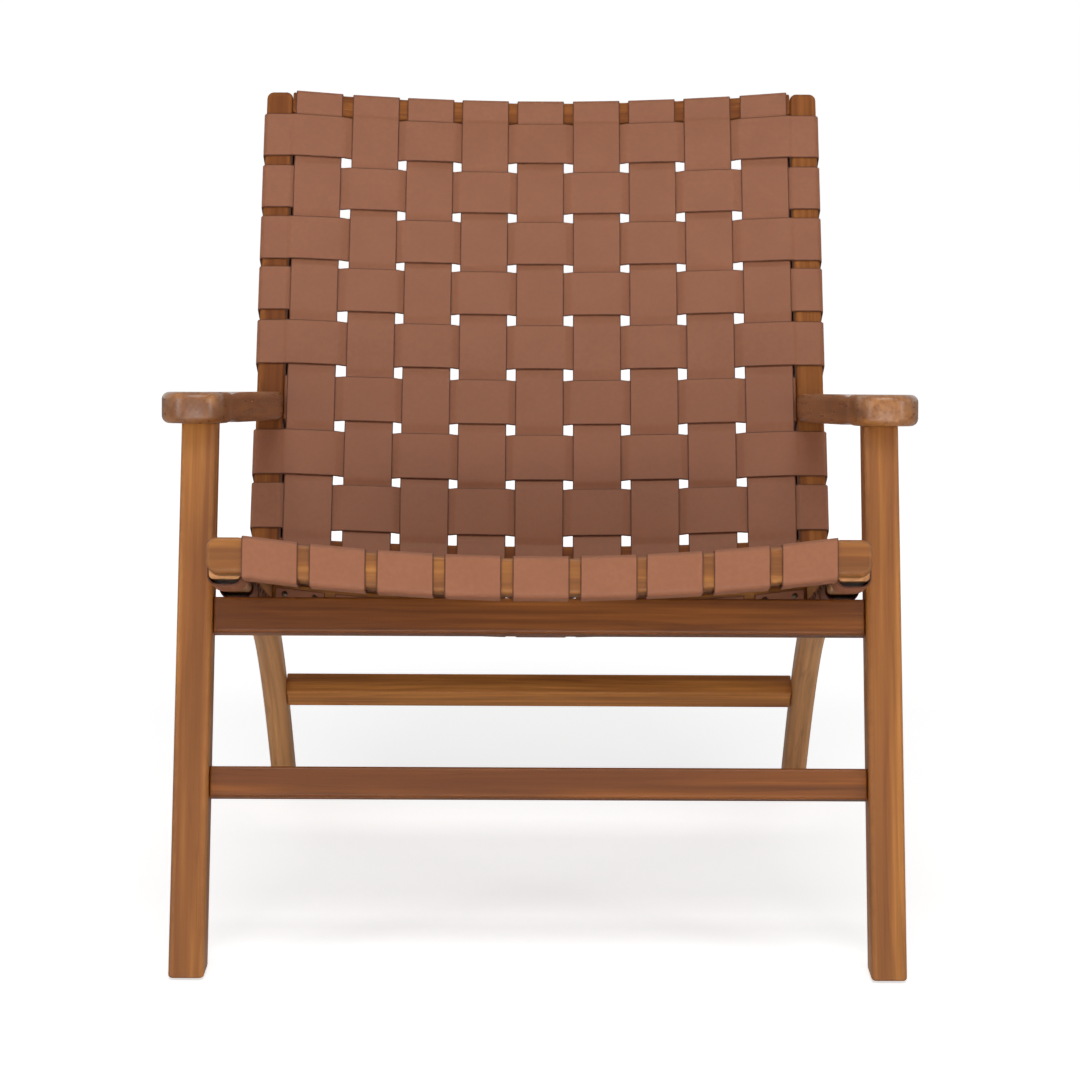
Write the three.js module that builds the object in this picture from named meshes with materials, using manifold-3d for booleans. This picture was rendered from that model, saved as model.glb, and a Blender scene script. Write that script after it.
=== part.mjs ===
// A low lounge chair: a rigid teak frame with a seat and a back woven from flat leather straps.
// Millimetres. X runs across the chair, -Y is the front, +Z is up.
// The feet stand on Z = 0 and the chair's box is centred on X = 0 and Y = 0.
import * as THREE from "three";
import { mergeVertices } from "three/addons/utils/BufferGeometryUtils.js";
import Module from "manifold-3d";

const wasm = await Module();
wasm.setup();

// Gap between pieces that touch, overrun of a cut, how near two vertices are one, and the side
// of a cube that cuts off all that lies past a plane.
const clearance = 0.3;
const overrun = 4;
const weldDistance = 0.001;
const cutSide = 2400;
const degree = Math.PI / 180;
const quarterTurn = 90 * degree;

// Seat and back share the width of their frame and its side members.
const frameHalfWidth = 295;
const memberWidth = 28;
const memberInner = frameHalfWidth - memberWidth;
const memberMiddle = frameHalfWidth - memberWidth / 2;
const memberEase = 3;

// Front legs stand outside the seat frame and lean back.
const legGap = 3;
const legWidth = 32;
const legDepth = 40;
const legLean = 20 * degree;
const legEase = 3.5;
const legInner = frameHalfWidth + legGap;
const legOuter = legInner + legWidth;

// Seat side rail, whose tail bends down into the rear leg.
const seatFrontHeight = 395.5;
const seatSlope = 15.5 * degree;
const seatLength = 412;
const seatDish = 18;
const seatMemberDepth = 34;
const rearFootDepth = 773;
const rearKneeShare = 0.4635;
const rearLegBendShare = 0.76;
const rearBendLead = 4;
const rearLegSteps = 12;

// Rails that carry the long seat straps.
const frontRailThickness = 30;
const rearRailThickness = 28;
const seatRailHeight = 32;
const frontRailEndRadius = 9;
const railEase = 3;
const rearLegStart = seatLength - rearRailThickness - rearBendLead;

// Back stiles and their rails.
const backFootShare = 0.23;
const backRecline = 29.2 * degree;
const backLength = 587;
const backDish = 24;
const backMemberDepth = 36;
const stileTopRadius = 9;
const topRailThickness = 26;
const bottomRailStart = 42;
const bottomRailThickness = 34;
const backRailHeight = 24;

// Arms: a narrow bar at the back that widens to a rounded paddle over the front leg.
const armThickness = 29;
const armSlope = 6.5 * degree;
const armAboveStrap = 5.6;
const armFrontReach = 50.5;
const armInnerOverhang = 12.5;
const armOuterOverhang = 19;
const armPaddleLength = 44;
const armNeckDistance = 88;
const armNeckInnerStep = 2.5;
const armNeckOuterStep = 10.5;
const armEase = 5;
const armCurveSteps = 5;
const armPaddleInner = legInner - armInnerOverhang;
const armPaddleOuter = legOuter + armOuterOverhang;
const armNeckInner = armPaddleInner + armNeckInnerStep;
const armNeckOuter = armPaddleOuter - armNeckOuterStep;

// Rails between the legs.
const crossRailThickness = 22;
const apronHeight = 33;
const apronDrop = 51;
const frontStretcherHeight = 28;
const frontStretcherLevel = 180.9;
const rearStretcherHeight = 28;
const rearStretcherThickness = 25.5;
const rearStretcherLevel = 134;
const crossRailEase = 2.5;

// Leather straps: nine long ones in each panel, and the cross straps woven through them.
// The straps of a row share the width that the gaps between and beside them leave.
const strapThickness = 1.8;
const longStraps = 9;
const longStrapGap = 9;
const longStrapSideGap = 4.5;
const seatCrossStraps = 6;
const seatCrossGap = 10;
const seatCrossEndGap = 3;
const seatTurnedNumber = 2;
const backCrossStraps = 8;
const backCrossGap = 10.6;
const backCrossTopGap = 1.8;
const backCrossBottomGap = 8.8;
const backTurnedNumber = 6;
const strapEndMargin = 3;
const turnedEndMargin = 6;
const turnedBendRadius = 2.9;
const wrapSteps = 2;

// Tenons: length into the mortise, and how much wood stays round them.
const tenonLength = 16;
const tenonShoulder = 7;

// Bolt and spacer that join each front leg to its seat rail.
const boltRadius = 4;
const boltGrip = 18;
const boltHeadRadius = 9;
const boltHeadHeight = 5;
const boltHeadSink = 1;
const spacerRadius = 11;
const roundSides = 16;

// Screw along each arm, put in from behind the stile.
const screwRadius = 3;
const screwHeadRadius = 6;
const screwHeadHeight = 4;
const screwWoodUnderHead = 24;
const screwGrip = 34;

// Glides under the four feet.
const glideRadius = 11;
const glideHeight = 2;
const glideEase = 0.6;
const glideSpikeRadius = 1.5;
const glideSpikeLength = 10;

// Finishes.
const teakColour = 0xaa7038;
const leatherColour = 0x9a6a50;
const steelColour = 0xa8a8a4;
const glideColour = 0xd8d4cc;

// Side of the chair: left is -1 and right is +1 on X.
const sides = { left: -1, right: 1 };

// A row of straps from one place to another, with gaps between them and beside its ends.
function strapRow(from, to, count, gap, firstGap, lastGap) {
  const width = (to - from - firstGap - lastGap - gap * (count - 1)) / count;
  const pitch = width + gap;
  const first = from + firstGap + width / 2;
  return { width, pitch, places: Array.from({ length: count }, (_, index) => first + index * pitch) };
}

const longRow = strapRow(
  -memberInner,
  memberInner,
  longStraps,
  longStrapGap,
  longStrapSideGap,
  longStrapSideGap,
);
const seatRow = strapRow(
  frontRailThickness,
  seatLength - rearRailThickness,
  seatCrossStraps,
  seatCrossGap,
  seatCrossEndGap,
  seatCrossEndGap,
);
const backRow = strapRow(
  bottomRailStart + bottomRailThickness,
  backLength - topRailThickness,
  backCrossStraps,
  backCrossGap,
  backCrossBottomGap,
  backCrossTopGap,
);
const backCrossPlaces = backRow.places.toReversed();

const xAxis = new THREE.Vector3(1, 0, 0);

// A frame of reference in the chair's side plane. Its second axis runs along a member,
// and its third stands off the member's face, towards the sitter.
function sideFrame(depth, height, alongDepth, alongHeight) {
  const along = new THREE.Vector3(0, alongDepth, alongHeight).normalize();
  const normal = new THREE.Vector3().crossVectors(xAxis, along);
  return new THREE.Matrix4().makeBasis(xAxis, along, normal).setPosition(0, depth, height);
}

// How far back the middle line of a front leg lies at a height above the floor.
function legDepthAt(height) {
  return height * Math.tan(legLean) + legDepth / 2 / Math.cos(legLean);
}

const groundFrame = new THREE.Matrix4();
const legFrame = sideFrame(0, 0, Math.sin(legLean), Math.cos(legLean));

// The middle lines of a front leg and a seat rail cross at the seat's turned strap, where the
// leg is bolted on.
const boltAlong = seatRow.places[seatTurnedNumber - 1];
const boltDepthInRail = seatMemberDepth / 2;
const boltHeight =
  seatFrontHeight - boltAlong * Math.sin(seatSlope) - boltDepthInRail * Math.cos(seatSlope);
const seatFrame = sideFrame(
  legDepthAt(boltHeight) - boltAlong * Math.cos(seatSlope) + boltDepthInRail * Math.sin(seatSlope),
  seatFrontHeight,
  Math.cos(seatSlope),
  -Math.sin(seatSlope),
);
const apronLevel = pointTo(legFrame, pointIn(seatFrame, 0, 0, 0)).y - apronDrop;

// The middle line of each back stile starts on the middle line of its seat rail.
const backFoot = rearLegCurve().getPoint(backFootShare);
const backFrame = sideFrame(
  backFoot.x - (backMemberDepth / 2) * Math.cos(backRecline),
  backFoot.y + (backMemberDepth / 2) * Math.sin(backRecline),
  Math.sin(backRecline),
  Math.cos(backRecline),
);

// The arms meet the stiles beside the back's turned strap.
const armRear = pointIn(backFrame, 0, backCrossPlaces[backTurnedNumber - 1] + armAboveStrap, 0);
const armFrame = sideFrame(armRear.y, armRear.z, Math.cos(armSlope), -Math.sin(armSlope));

// A point given in a frame, in the chair's own frame.
function pointIn(frame, across, along, above) {
  return new THREE.Vector3(across, along, above).applyMatrix4(frame);
}

// A point given in the chair's own frame, in another frame.
function pointTo(frame, point) {
  return point.clone().applyMatrix4(frame.clone().invert());
}

// Extrudes an outline to a thickness, with its two rims eased inside the outline.
function slab(outline, thickness, ease, curveSteps = armCurveSteps) {
  const geometry = new THREE.ExtrudeGeometry(outline, {
    depth: thickness - ease - ease,
    bevelEnabled: ease > 0,
    bevelThickness: ease,
    bevelSize: ease,
    bevelOffset: -ease,
    bevelSegments: 1,
    curveSegments: curveSteps,
  });
  return geometry.translate(0, 0, ease);
}

// An outline drawn along and above a frame, as wide as its two places across the chair.
function slabAcross(outline, from, to, ease) {
  const turn = new THREE.Matrix4().makeBasis(
    new THREE.Vector3(0, 1, 0),
    new THREE.Vector3(0, 0, 1),
    new THREE.Vector3(1, 0, 0),
  );
  const low = Math.min(from, to);
  return slab(outline, Math.abs(to - from), ease).applyMatrix4(turn).translate(low, 0, 0);
}

// An outline drawn across and above a frame, from one place to another along it.
function slabAlong(outline, from, to, ease) {
  const turn = new THREE.Matrix4().makeBasis(
    new THREE.Vector3(1, 0, 0),
    new THREE.Vector3(0, 0, 1),
    new THREE.Vector3(0, -1, 0),
  );
  return slab(outline, to - from, ease).applyMatrix4(turn).translate(0, to, 0);
}

// A block given by its middle and its sizes across, along and above a frame.
function block(middle, sizes) {
  const geometry = new THREE.BoxGeometry(sizes.x, sizes.y, sizes.z);
  return geometry.translate(middle.x, middle.y, middle.z);
}

// A round piece about the X axis, from a profile of radius and place along the axis.
function turnedAcross(profile) {
  return new THREE.LatheGeometry(profile, roundSides).rotateZ(-quarterTurn);
}

function vector(across, along, above) {
  return new THREE.Vector3(across, along, above);
}

function flatShape(points) {
  return new THREE.Shape(points.map(([x, y]) => new THREE.Vector2(x, y)));
}

function solidOf(geometry, frame = groundFrame) {
  const bare = geometry.clone().applyMatrix4(frame);
  bare.deleteAttribute("normal");
  bare.deleteAttribute("uv");
  const welded = mergeVertices(bare, weldDistance);
  return new wasm.Manifold(
    new wasm.Mesh({
      numProp: 3,
      vertProperties: new Float32Array(welded.attributes.position.array),
      triVerts: new Uint32Array(welded.index.array),
    }),
  );
}

function geometryOf(solid) {
  const mesh = solid.getMesh();
  const geometry = new THREE.BufferGeometry();
  geometry.setAttribute("position", new THREE.BufferAttribute(mesh.vertProperties, 3));
  geometry.setIndex(new THREE.BufferAttribute(mesh.triVerts, 1));
  const faceted = geometry.toNonIndexed();
  faceted.computeVertexNormals();
  return faceted;
}

function joinAll(solid, others) {
  return others.reduce((made, other) => made.add(other), solid);
}

function cutAll(solid, others) {
  return others.reduce((made, other) => made.subtract(other), solid);
}

// A cube about a place in a frame, which cuts off all that lies past one of its sides.
function cutter(frame, along, above) {
  return solidOf(block(vector(0, along, above), vector(cutSide, cutSide, cutSide)), frame);
}

// Everything below the underside of the feet, which stand on the glides.
function belowFeet() {
  return cutter(groundFrame, 0, glideHeight + clearance - cutSide / 2);
}

// The middle line of the bent tail of a seat rail, as a curve in depth and height.
function rearLegCurve() {
  const start = pointIn(seatFrame, 0, rearLegStart, -seatMemberDepth / 2);
  const foot = vector(0, rearFootDepth, 0);
  const seatFall = Math.tan(seatSlope);
  const kneeDepth = start.y + (foot.y - start.y) * rearKneeShare;
  const knee = vector(0, kneeDepth, start.z - seatFall * (kneeDepth - start.y));
  const first = start.clone().lerp(knee, rearLegBendShare);
  const second = foot.clone().lerp(knee, rearLegBendShare);
  const flat = (point) => new THREE.Vector2(point.y, point.z);
  return new THREE.CubicBezierCurve(flat(start), flat(first), flat(second), flat(foot));
}

// The place on the rear leg's middle line at a height, with the frame that runs down the leg.
function rearLegFrameAt(height) {
  const curve = rearLegCurve();
  let low = 0;
  let high = 1;
  while (high - low > Number.EPSILON * 2) {
    const middle = (low + high) / 2;
    if (curve.getPoint(middle).y > height) low = middle;
    else high = middle;
  }
  const place = curve.getPoint(low);
  const way = curve.getTangent(low);
  return sideFrame(place.x, place.y, way.x, way.y);
}

// The outline of a seat rail and its rear leg in depth and height, grown by a margin.
function seatMemberOutline(margin) {
  const half = seatMemberDepth / 2 + margin;
  const curve = rearLegCurve();
  const front = pointIn(seatFrame, 0, frontRailThickness + clearance - margin, -seatMemberDepth / 2);
  const middle = [new THREE.Vector2(front.y, front.z)];
  const ways = [curve.getTangent(0)];
  for (let step = 0; step <= rearLegSteps; step += 1) {
    middle.push(curve.getPoint(step / rearLegSteps));
    ways.push(curve.getTangent(step / rearLegSteps));
  }
  const beyond = curve.getTangent(1).multiplyScalar(seatMemberDepth);
  middle.push(curve.getPoint(1).add(beyond));
  ways.push(curve.getTangent(1));
  const edge = (sign) =>
    middle.map((point, index) => [
      point.x - sign * half * ways[index].y,
      point.y + sign * half * ways[index].x,
    ]);
  return flatShape([...edge(-1), ...edge(1).reverse()]);
}

// A woven panel: its frame, the dish of its surface, its side members and its end rails.
// The wood's faces towards the sitter lie at zero above the frame at the sides of the panel.
const seatPanel = {
  frame: seatFrame,
  dish: seatDish,
  memberDepth: seatMemberDepth,
  railHeight: seatRailHeight,
  startRail: { from: 0, to: frontRailThickness },
  endRail: { from: seatLength - rearRailThickness, to: seatLength },
  crossWidth: seatRow.width,
  crossPlaces: seatRow.places,
  turnedCross: seatTurnedNumber,
};
const backPanel = {
  frame: backFrame,
  dish: backDish,
  memberDepth: backMemberDepth,
  railHeight: backRailHeight,
  startRail: { from: bottomRailStart, to: bottomRailStart + bottomRailThickness },
  endRail: { from: backLength - topRailThickness, to: backLength },
  crossWidth: backRow.width,
  crossPlaces: backCrossPlaces,
  turnedCross: backTurnedNumber,
};

// How far the panel's surface lies above the frame at a place across the chair.
function dishAt(panel, across) {
  const share = across / memberInner;
  return -panel.dish * Math.max(0, 1 - share * share);
}

// The flat facet of the dished surface that one long strap lies on.
function columnFacet(panel, column) {
  const middle = longRow.places[column - 1];
  const left = dishAt(panel, middle - longRow.pitch / 2);
  const right = dishAt(panel, middle + longRow.pitch / 2);
  return {
    middle,
    level: (left + right) / 2,
    tilt: Math.atan2(right - left, longRow.pitch),
  };
}

// Whether a long strap passes over a cross strap, on the sitter's side.
function longStrapIsOver(column, cross) {
  return (column + cross) % 2 === 1;
}

// Distance from the wood to the middle of a strap on it, and of a strap from the weave's middle.
const strapLift = clearance + strapThickness / 2;
const weaveLift = (clearance + strapThickness) / 2;

// Points on an arc, from one angle to another, about a centre.
function arcPoints(centre, radius, from, to, steps) {
  return Array.from({ length: steps + 1 }, (_, index) => {
    const angle = from + ((to - from) * index) / steps;
    return [centre[0] + radius * Math.cos(angle), centre[1] + radius * Math.sin(angle)];
  });
}

// The middle line of a strap's end that wraps a piece of wood whose face is at zero and whose
// outer edge is at a place: it runs from the far side, round the outer edge, onto the face.
// The way is +1 where the strap then runs towards larger places, and -1 where it runs back.
function wrapPath(outerEdge, innerEdge, woodDepth, ease, way) {
  const outward = way > 0 ? Math.PI : 0;
  const turn = way * quarterTurn;
  const centre = outerEdge + way * ease;
  const radius = ease + strapLift;
  const end = [innerEdge - way * (strapEndMargin + ease), -woodDepth - strapLift];
  const low = arcPoints([centre, ease - woodDepth], radius, outward + turn, outward, wrapSteps);
  const high = arcPoints([centre, -ease], radius, outward, outward - turn, wrapSteps);
  return [end, ...low, ...high];
}

// The middle line of a strap's end that turns down along the inner face of a side member.
function turnedPath(level, memberDepth, way) {
  const face = -way * (memberInner - strapLift);
  const outward = way > 0 ? Math.PI : 0;
  const centre = [face + way * turnedBendRadius, level - turnedBendRadius];
  const inward = outward - way * quarterTurn;
  const bend = arcPoints(centre, turnedBendRadius, outward, inward, wrapSteps);
  return [[face, turnedEndMargin - memberDepth], ...bend];
}

// The outline of a strap of even thickness along its middle line, with mitred bends.
function strapOutline(path) {
  const points = path.map(([x, y]) => new THREE.Vector2(x, y));
  const ways = points.slice(1).map((point, index) => point.clone().sub(points[index]).normalize());
  const edge = (sign) =>
    points.map((point, index) => {
      const before = ways[Math.max(0, index - 1)];
      const after = ways[Math.min(ways.length - 1, index)];
      const mitre = new THREE.Vector2(-before.y - after.y, before.x + after.x).normalize();
      const reach = (sign * strapThickness) / 2 / (mitre.x * -after.y + mitre.y * after.x);
      return [point.x + mitre.x * reach, point.y + mitre.y * reach];
    });
  return flatShape([...edge(1), ...edge(-1).reverse()]);
}

// A long strap, which runs from the panel's start rail to its end rail at one column.
function longStrap(panel, column) {
  const facet = columnFacet(panel, column);
  const depth = panel.railHeight * Math.cos(facet.tilt);
  const start = wrapPath(panel.startRail.from, panel.startRail.to, depth, railEase, 1);
  const end = wrapPath(panel.endRail.to, panel.endRail.from, depth, railEase, -1);
  const half = panel.crossWidth / 2 + clearance;
  const crossings = panel.crossPlaces
    .map((place, index) => ({ place, over: longStrapIsOver(column, index + 1) }))
    .sort((one, other) => one.place - other.place)
    .flatMap(({ place, over }) => {
      const level = strapLift + (over ? weaveLift : -weaveLift);
      return [
        [place - half, level],
        [place + half, level],
      ];
    });
  const path = [
    ...start,
    [panel.startRail.to, strapLift],
    ...crossings,
    [panel.endRail.from, strapLift],
    ...end.reverse(),
  ];
  return slabAcross(strapOutline(path), -longRow.width / 2, longRow.width / 2, 0)
    .rotateY(-facet.tilt)
    .translate(facet.middle, 0, facet.level)
    .applyMatrix4(panel.frame);
}

// A cross strap, woven through the long straps and wrapped round the side members, or turned
// down inside them where another piece of the frame meets their outer side.
function crossStrap(panel, cross) {
  const place = panel.crossPlaces[cross - 1];
  const half = longRow.width / 2 + clearance;
  const crossings = [];
  for (let column = 1; column <= longStraps; column += 1) {
    const facet = columnFacet(panel, column);
    const lift = strapLift + (longStrapIsOver(column, cross) ? -weaveLift : weaveLift);
    const middle = [
      facet.middle - lift * Math.sin(facet.tilt),
      facet.level + lift * Math.cos(facet.tilt),
    ];
    const reach = [half * Math.cos(facet.tilt), half * Math.sin(facet.tilt)];
    crossings.push([middle[0] - reach[0], middle[1] - reach[1]]);
    crossings.push([middle[0] + reach[0], middle[1] + reach[1]]);
  }
  const turned = cross === panel.turnedCross;
  const ends = [1, -1].map((way) => {
    if (turned) return turnedPath(crossings[0][1], panel.memberDepth, way);
    const wrap = wrapPath(-way * frameHalfWidth, -way * memberInner, panel.memberDepth, memberEase, way);
    return [...wrap, [-way * (memberInner + memberEase), strapLift]];
  });
  const path = [...ends[0], ...crossings, ...ends[1].reverse()];
  return slabAlong(
    strapOutline(path),
    place - panel.crossWidth / 2,
    place + panel.crossWidth / 2,
    0,
  ).applyMatrix4(panel.frame);
}

// The outline of a dished end rail, with flats under the straps. Its right end is given as
// points from the underside up to the face, and the left end mirrors it.
function dishedOutline(panel, rightEnd) {
  const face = [];
  for (let gap = 1; gap < longStraps; gap += 1) {
    const across = (gap - longStraps / 2) * longRow.pitch;
    face.push([across, dishAt(panel, across)]);
  }
  const underside = face.map(([across, level]) => [across, level - panel.railHeight]);
  const leftEnd = rightEnd.map(([across, level]) => [-across, level]);
  return flatShape([...leftEnd, ...face, ...rightEnd.reverse(), ...underside.reverse()]);
}

// A tenon on the end of a rail, from the shoulder at a place across the chair, and its mortise.
function railTenon(side, shoulder, along, above, length, height, margin) {
  const size = vector(
    tenonLength + overrun + margin * 2,
    length - tenonShoulder * 2 + margin * 2,
    height - tenonShoulder * 2 + margin * 2,
  );
  const middle = vector(side * (shoulder + (tenonLength - overrun) / 2), along, above);
  return block(middle, size);
}

// The tenons of a panel's end rail, or with a margin their mortises in the side members.
function endRailTenon(panel, rail, side, margin) {
  const along = (rail.from + rail.to) / 2;
  const above = -panel.railHeight / 2;
  const length = rail.to - rail.from;
  const tenon = railTenon(side, memberInner, along, above, length, panel.railHeight, margin);
  return solidOf(tenon, panel.frame);
}

function betweenMembersRail(panel, rail) {
  const end = memberInner - clearance;
  const outline = dishedOutline(panel, [
    [end, -panel.railHeight],
    [end, 0],
  ]);
  const body = solidOf(slabAlong(outline, rail.from, rail.to, railEase), panel.frame);
  return joinAll(
    body,
    Object.values(sides).map((side) => endRailTenon(panel, rail, side, 0)),
  );
}

// The tenon on the front end of a seat rail, which the front rail covers.
function seatRailFrontTenon(side, margin) {
  const size = vector(
    memberWidth - tenonShoulder * 2 + margin * 2,
    tenonLength + overrun + margin * 2,
    seatRailHeight - tenonShoulder * 2 + margin * 2,
  );
  const along = frontRailThickness - (tenonLength - overrun) / 2;
  const across = side * memberMiddle;
  return solidOf(block(vector(across, along, -seatRailHeight / 2), size), seatFrame);
}

function seatFrontRail() {
  const radius = frontRailEndRadius;
  const centre = frameHalfWidth - radius;
  const outline = dishedOutline(seatPanel, [
    [memberInner, -seatRailHeight],
    ...arcPoints([centre, radius - seatRailHeight], radius, -quarterTurn, 0, wrapSteps),
    ...arcPoints([centre, -radius], radius, 0, quarterTurn, wrapSteps),
    [memberInner, 0],
  ]);
  const body = solidOf(slabAlong(outline, 0, frontRailThickness, railEase), seatFrame);
  return cutAll(
    body,
    Object.values(sides).map((side) => seatRailFrontTenon(side, clearance)),
  );
}

// The tenon under a back stile, which stands in the top of the seat rail.
function stileFootTenon(side, margin) {
  const size = vector(
    memberWidth - tenonShoulder * 2 + margin * 2,
    tenonLength + overrun + margin * 2,
    backMemberDepth - tenonShoulder * 2 + margin * 2,
  );
  const along = (seatMemberDepth + overrun - tenonLength) / 2;
  const middle = vector(side * memberMiddle, along, -backMemberDepth / 2);
  return solidOf(block(middle, size), backFrame);
}

function rearStretcherTenon(side, margin) {
  const tenon = railTenon(
    side,
    memberInner,
    0,
    0,
    rearStretcherHeight,
    rearStretcherThickness,
    margin,
  );
  return solidOf(tenon, rearLegFrameAt(rearStretcherLevel));
}

// A hole about the X axis at the leg bolt, from one place across the chair to another.
function boltHole(side, from, to, radius) {
  const profile = [
    new THREE.Vector2(0, from),
    new THREE.Vector2(radius, from),
    new THREE.Vector2(radius, to),
    new THREE.Vector2(0, to),
  ];
  const place = pointIn(seatFrame, 0, boltAlong, -boltDepthInRail);
  const hole = turnedAcross(profile);
  if (side < 0) hole.rotateZ(Math.PI);
  return solidOf(hole.translate(0, place.y, place.z));
}

// A spike hole of a glide, up from the underside of a foot.
function spikeHole(side, across, depth) {
  return solidOf(glideSpike(clearance).translate(side * across, depth, glideHeight));
}

function glideSpike(margin) {
  const radius = glideSpikeRadius + margin;
  const profile = [
    new THREE.Vector2(0, -glideEase),
    new THREE.Vector2(radius, -glideEase),
    new THREE.Vector2(radius, glideSpikeLength + margin),
    new THREE.Vector2(0, glideSpikeLength + margin),
  ];
  return new THREE.LatheGeometry(profile, roundSides / 2).rotateX(quarterTurn);
}

const rearFootWay = rearLegCurve().getTangent(1);
const rearGlideDepth = rearFootDepth + (glideHeight * rearFootWay.x) / rearFootWay.y;
const frontGlideDepth = legDepthAt(glideHeight);
const frontFootAcross = legInner + legWidth / 2;

function seatRail(side) {
  const body = solidOf(
    slabAcross(seatMemberOutline(0), side * memberInner, side * frameHalfWidth, memberEase),
  );
  const withTenon = joinAll(body, [seatRailFrontTenon(side, 0)]);
  const gripEnd = frameHalfWidth - boltGrip - clearance;
  return cutAll(withTenon, [
    belowFeet(),
    endRailTenon(seatPanel, seatPanel.endRail, side, clearance),
    stileFootTenon(side, clearance),
    rearStretcherTenon(side, clearance),
    boltHole(side, gripEnd, frameHalfWidth + overrun, boltRadius + clearance),
    spikeHole(side, memberMiddle, rearGlideDepth),
  ]);
}

function backStile(side) {
  const corner = new THREE.Shape();
  corner.moveTo(0, 0);
  corner.lineTo(0, -backMemberDepth);
  corner.lineTo(backLength - stileTopRadius, -backMemberDepth);
  corner.quadraticCurveTo(backLength, -backMemberDepth, backLength, stileTopRadius - backMemberDepth);
  corner.lineTo(backLength, -stileTopRadius / 2);
  corner.quadraticCurveTo(backLength, 0, backLength - stileTopRadius / 2, 0);
  const body = solidOf(
    slabAcross(corner, side * memberInner, side * frameHalfWidth, memberEase),
    backFrame,
  );
  const seat = slabAcross(
    seatMemberOutline(clearance),
    side * (memberInner - overrun),
    side * (frameHalfWidth + overrun),
    0,
  );
  const shaped = joinAll(cutAll(body, [solidOf(seat)]), [stileFootTenon(side, 0)]);
  return cutAll(shaped, [
    endRailTenon(backPanel, backPanel.startRail, side, clearance),
    endRailTenon(backPanel, backPanel.endRail, side, clearance),
    screwHole(side),
  ]);
}

// The tenon on top of a front leg, which stands in the underside of the arm.
function legTopTenon(side, margin) {
  const across = side * frontFootAcross;
  const size = vector(
    legWidth - tenonShoulder * 2 + margin * 2,
    legDepth - tenonShoulder * 2 + margin * 2,
    (tenonLength + overrun) * 2 + margin * 2,
  );
  return solidOf(block(vector(across, legUnderArm(), -armThickness), size), armFrame);
}

// Where the middle of a front leg meets the underside of the arm, along the arm's frame.
function legUnderArm() {
  const start = pointTo(armFrame, pointIn(legFrame, 0, 0, -legDepth / 2));
  const way = pointTo(armFrame, pointIn(legFrame, 0, 1, -legDepth / 2)).sub(start);
  return start.y + ((-armThickness - start.z) / way.z) * way.y;
}

function crossRailTenon(side, level, height, margin) {
  const above = -legDepth / 2;
  const tenon = railTenon(side, legInner, level, above, height, crossRailThickness, margin);
  return solidOf(tenon, legFrame);
}

function frontLeg(side) {
  const top = pointTo(legFrame, pointIn(armFrame, 0, legUnderArm(), 0)).y + legDepth;
  const outline = flatShape([
    [-legDepth, 0],
    [-legDepth, -legDepth],
    [top, -legDepth],
    [top, 0],
  ]);
  const body = solidOf(slabAcross(outline, side * legInner, side * legOuter, legEase), legFrame);
  const aboveLeg = cutter(armFrame, 0, cutSide / 2 - armThickness - clearance);
  const cut = cutAll(body, [aboveLeg, belowFeet()]);
  const headRoom = boltHeadHeight + boltHeadSink + clearance;
  return cutAll(joinAll(cut, [legTopTenon(side, 0)]), [
    crossRailTenon(side, apronLevel, apronHeight, clearance),
    crossRailTenon(side, frontStretcherLevel, frontStretcherHeight, clearance),
    boltHole(side, legInner - overrun, legOuter + overrun, boltRadius + clearance),
    boltHole(side, legOuter - headRoom, legOuter + overrun, boltHeadRadius + clearance),
    spikeHole(side, frontFootAcross, frontGlideDepth),
  ]);
}

// The arm's outline across and along its frame: narrow at the stile, with a rounded paddle.
function armOutline(side) {
  const tip = legUnderArm() - armFrontReach;
  const wide = tip + armPaddleLength;
  const neck = tip + armNeckDistance;
  const middle = (armPaddleInner + armPaddleOuter) / 2;
  const shape = new THREE.Shape();
  const at = (across, along) => [side * across, along];
  shape.moveTo(...at(memberInner, backMemberDepth));
  shape.lineTo(...at(memberInner, 0));
  shape.quadraticCurveTo(...at(memberInner, neck / 2), ...at(armNeckInner, neck));
  shape.quadraticCurveTo(...at(armPaddleInner, (neck + wide) / 2), ...at(armPaddleInner, wide));
  shape.quadraticCurveTo(...at(armPaddleInner, tip), ...at(middle, tip));
  shape.quadraticCurveTo(...at(armPaddleOuter, tip), ...at(armPaddleOuter, wide));
  shape.quadraticCurveTo(...at(armPaddleOuter, (neck + wide) / 2), ...at(armNeckOuter, neck));
  shape.quadraticCurveTo(...at(frameHalfWidth, neck / 2), ...at(frameHalfWidth, 0));
  shape.lineTo(...at(frameHalfWidth, backMemberDepth));
  return shape;
}

function arm(side) {
  const body = solidOf(
    slab(armOutline(side), armThickness, armEase).translate(0, 0, -armThickness),
    armFrame,
  );
  return cutAll(body, [
    cutter(backFrame, 0, clearance - cutSide / 2),
    legTopTenon(side, clearance),
    screwHole(side),
  ]);
}

// The screw's profile, radius against place along the arm: the tip lies in the arm.
function screwProfile(margin, headReach) {
  const head = screwWoodUnderHead - margin;
  return [
    new THREE.Vector2(0, -screwGrip - margin),
    new THREE.Vector2(screwRadius + margin, -screwGrip - margin),
    new THREE.Vector2(screwRadius + margin, head),
    new THREE.Vector2(screwHeadRadius + margin, head),
    new THREE.Vector2(screwHeadRadius + margin, screwWoodUnderHead + headReach),
    new THREE.Vector2(0, screwWoodUnderHead + headReach),
  ];
}

function screwAlongArm(side, margin, headReach) {
  const across = side * memberMiddle;
  const body = new THREE.LatheGeometry(screwProfile(margin, headReach), roundSides);
  return solidOf(body.translate(across, 0, -armThickness / 2), armFrame);
}

function screwHole(side) {
  return screwAlongArm(side, clearance, backMemberDepth);
}

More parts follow.
